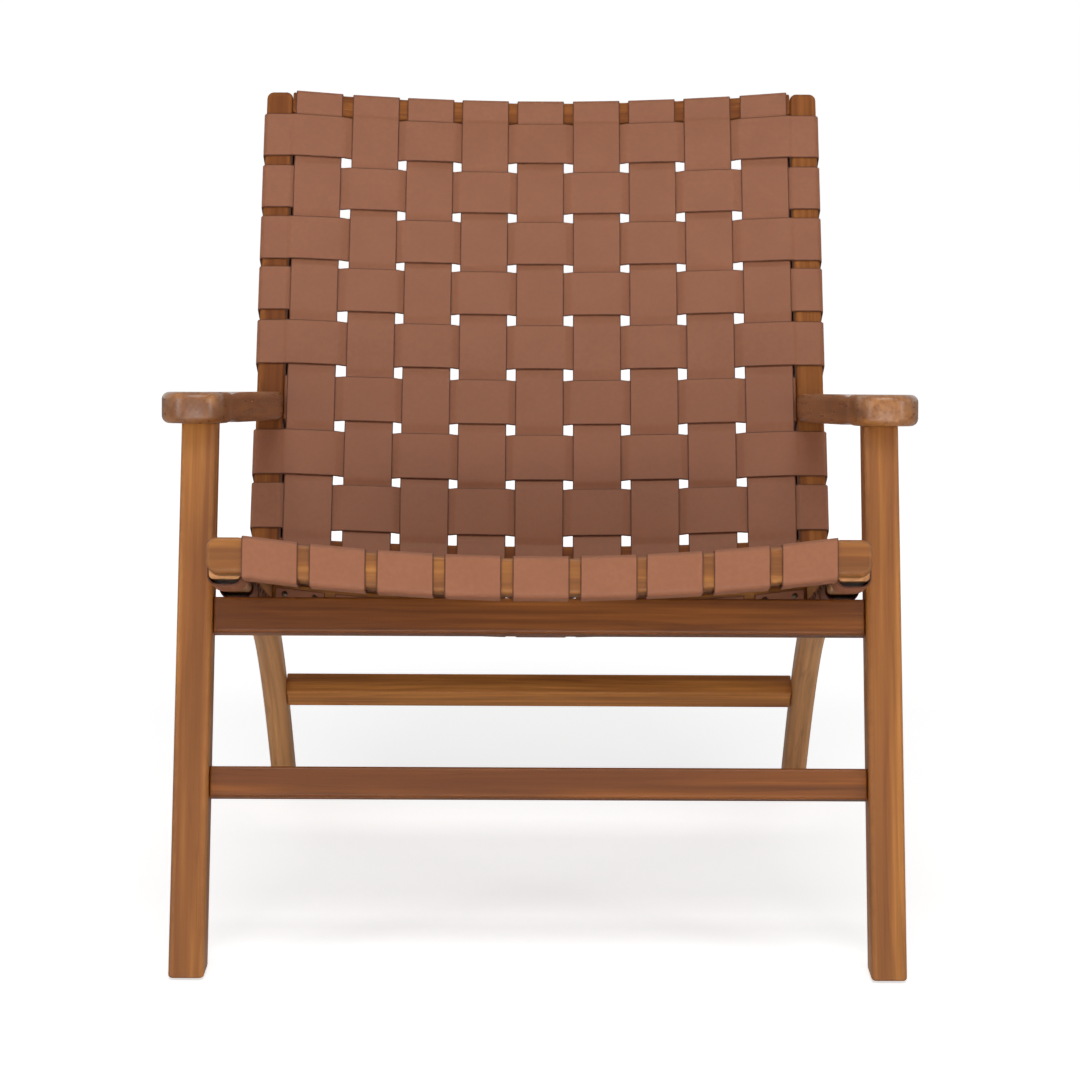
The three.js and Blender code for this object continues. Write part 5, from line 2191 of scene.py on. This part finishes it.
    def glide(self, node: str, across: float, depth: float) -> None:
        """A glide: a flat pad with an eased rim, and its spike up into the foot.

        Args:
            node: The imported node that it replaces.
            across: Its middle on X.
            depth: Its middle behind the front feet.
        """
        pad, height = self.glide_radius, self.sizes.glide_height
        spike, tip = self.spike_radius, height + self.spike_length
        corners = (
            *((level, pad - step) for level, step in self.glide_rim),
            (height - self.glide_top_ease, pad), (height, pad - self.glide_top_ease),
            (height, spike), (tip - self.spike_point, spike), (tip, self.spike_tip),
        )
        start = in_chair(np.full((), across), np.array([depth, 0.0]))
        ways = np.array([[0.0, 0.0, 1.0], [1.0, 0.0, 0.0], [0.0, 1.0, 0.0]])
        self.turned_piece(node, Turned.smooth(corners), (start, ways))


# ---- The studio


@dataclass(frozen=True)
class Lamp:
    """A soft box lamp, with its width and height."""

    name: str
    place: Spot
    aim: Spot
    size: Pair
    watts: float
    spread: float = math.pi

    def build(self) -> None:
        """Adds the lamp and points it."""
        light = bpy.data.lights.new(self.name, "AREA")
        light.shape = "RECTANGLE"
        light.size, light.size_y = self.size
        light.energy = self.watts
        light.spread = self.spread
        item = bpy.data.objects.new(self.name, light)
        item.location = self.place
        way = Vector(self.aim) - Vector(self.place)
        item.rotation_euler = way.to_track_quat("-Z", "Y").to_euler()
        bpy.context.scene.collection.objects.link(item)


@dataclass
class Studio:
    """The floor, the light and the camera of the photograph."""

    front_distance: float = 2.9256
    eye_height: float = 0.865
    eye_across: float = 0.0005
    pitch: float = math.radians(9.03)
    roll: float = 0.0042
    lens: float = 113.1
    sensor: float = 36.0
    floor_half: float = 900.0
    sight: float = 1200.0
    sky: float = 0.24
    floor_tone: float = 0.82
    near_glow: float = 0.66
    far_white: float = 1.02
    glow_span: Pair = (0.55, 2.6)

    def build(self) -> None:
        """Builds the floor, the light and the camera."""
        self.floor()
        self.world()
        middle = (0.0, 0.0, 0.5)
        for lamp in (
            Lamp("lamp_left", (-2.6, -2.1, 1.0), middle, (0.4, 1.7), 13.0),
            Lamp("lamp_right", (2.6, -2.1, 1.0), middle, (0.4, 1.7), 13.0),
            Lamp("lamp_low", (0.0, -6.5, 0.27), (0.0, 0.0, 0.27), (5.0, 0.45), 66.0),
            Lamp("lamp_top", (0.0, -2.0, 3.6), middle, (2.4, 1.6), 50.0),
            Lamp(
                "lamp_floor", (0.0, -2.3, 1.9), (0.0, -2.301, 0.0), (3.6, 1.6), 85.0,
                spread=math.radians(76),
            ),
        ):
            lamp.build()
        self.camera()

    def floor(self) -> None:
        """A pale floor that shows white where no shadow falls on it."""
        half = self.floor_half
        corners = [(-half, -half, 0), (half, -half, 0), (half, half, 0), (-half, half, 0)]
        mesh = bpy.data.meshes.new("studio_floor")
        mesh.from_pydata(corners, [], [(0, 1, 2, 3)])
        material, sheet = new_material("studio_floor")
        tone = self.floor_tone
        shader = sheet.add("BsdfDiffuse", {"Color": (tone, tone, tone, 1.0)})
        path = sheet.add("LightPath")
        place = sheet.add("TexCoord").outputs["Object"]
        away = sheet.add("VectorMath", {0: place}, operation="LENGTH").outputs["Value"]
        tones = (self.near_glow, self.far_white - tone * self.sky)
        level = sheet.span(away, *self.glow_span, tones)
        strength = sheet.times(path.outputs["Is Camera Ray"], level)
        glow = sheet.add("Emission", {"Color": (1, 1, 1, 1), "Strength": strength})
        both = sheet.add("AddShader", {0: shader.outputs[0], 1: glow.outputs[0]})
        sheet.add("OutputMaterial", {"Surface": both.outputs[0]})
        mesh.materials.append(material)
        item = bpy.data.objects.new("studio_floor", mesh)
        bpy.context.scene.collection.objects.link(item)

    def world(self) -> None:
        """A white surround that the camera and reflections see at full strength."""
        world = bpy.data.worlds.new("studio_surround")
        bpy.context.scene.world = world
        world.use_nodes = True
        sheet = NodeSheet(world.node_tree)
        path = sheet.add("LightPath")
        seen = sheet.math("MAXIMUM", path.outputs["Is Camera Ray"], path.outputs["Is Glossy Ray"])
        seen = sheet.math("MAXIMUM", seen, path.outputs["Is Transmission Ray"])
        strength = sheet.math("ADD", self.sky, sheet.times(seen, 1.0 - self.sky))
        glow = sheet.add("Background", {"Color": (1, 1, 1, 1), "Strength": strength})
        sheet.add("OutputWorld", {"Surface": glow.outputs[0]})

    def camera(self) -> None:
        """A long lens a little above the chair, pitched down and rolled by a hair."""
        lens = bpy.data.cameras.new("view")
        lens.lens = self.lens
        lens.sensor_width = self.sensor
        lens.clip_end = self.sight
        item = bpy.data.objects.new("view", lens)
        item.location = (self.eye_across, DEPTH_SHIFT - self.front_distance, self.eye_height)
        tilt = Matrix.Rotation(math.pi / 2 - self.pitch, 3, "X")
        item.rotation_euler = (tilt @ Matrix.Rotation(self.roll, 3, "Z")).to_euler()
        bpy.context.scene.collection.objects.link(item)
        bpy.context.scene.camera = item
        bpy.context.scene.view_settings.view_transform = "Standard"


def main() -> None:
    """Builds the timber, the two woven panels, the hardware and the studio."""
    logging.basicConfig(level=logging.INFO, format="%(name)s: %(message)s")
    shop = Workshop()
    timber = TimberFrame(SIZES, shop)
    timber.build()
    WovenPanel(
        "seat", shop, SIZES, SIZES.seat_plane, SIZES.seat_row, False, SIZES.seat_turned,
        timber.seat_dish, SIZES.seat_member_depth, timber.seat_rail_height,
        (0.0, SIZES.front_rail), timber.seat_rear_span,
        sway=(-0.0013, -0.0006, 0.0, 0.0006, 0.0016, 0.0022, 0.0012, 0.0014, 0.0022),
        fold_radius=0.0088, fold_sag=0.0040,
    ).build()
    WovenPanel(
        "back", shop, SIZES, SIZES.back_plane, SIZES.back_row, True, SIZES.back_turned,
        timber.back_dish, SIZES.back_member_depth, timber.back_rail_height,
        timber.back_bottom_span, timber.back_top_span, slack=0.4, long_hem=0.012,
        drift=(0.0001, -0.0002, 0.0004, 0.0025, 0.0015, -0.0003, -0.0011, 0.0004),
        sway=(-0.0011, 0.0001, -0.0005, -0.0009, -0.0007, 0.0, 0.0003, 0.0004, 0.0013),
    ).build()
    Hardware(SIZES, shop).build()
    Studio().build()
    log.info("pieces made: %d", shop.made)


if __name__ == "__main__":
    main()
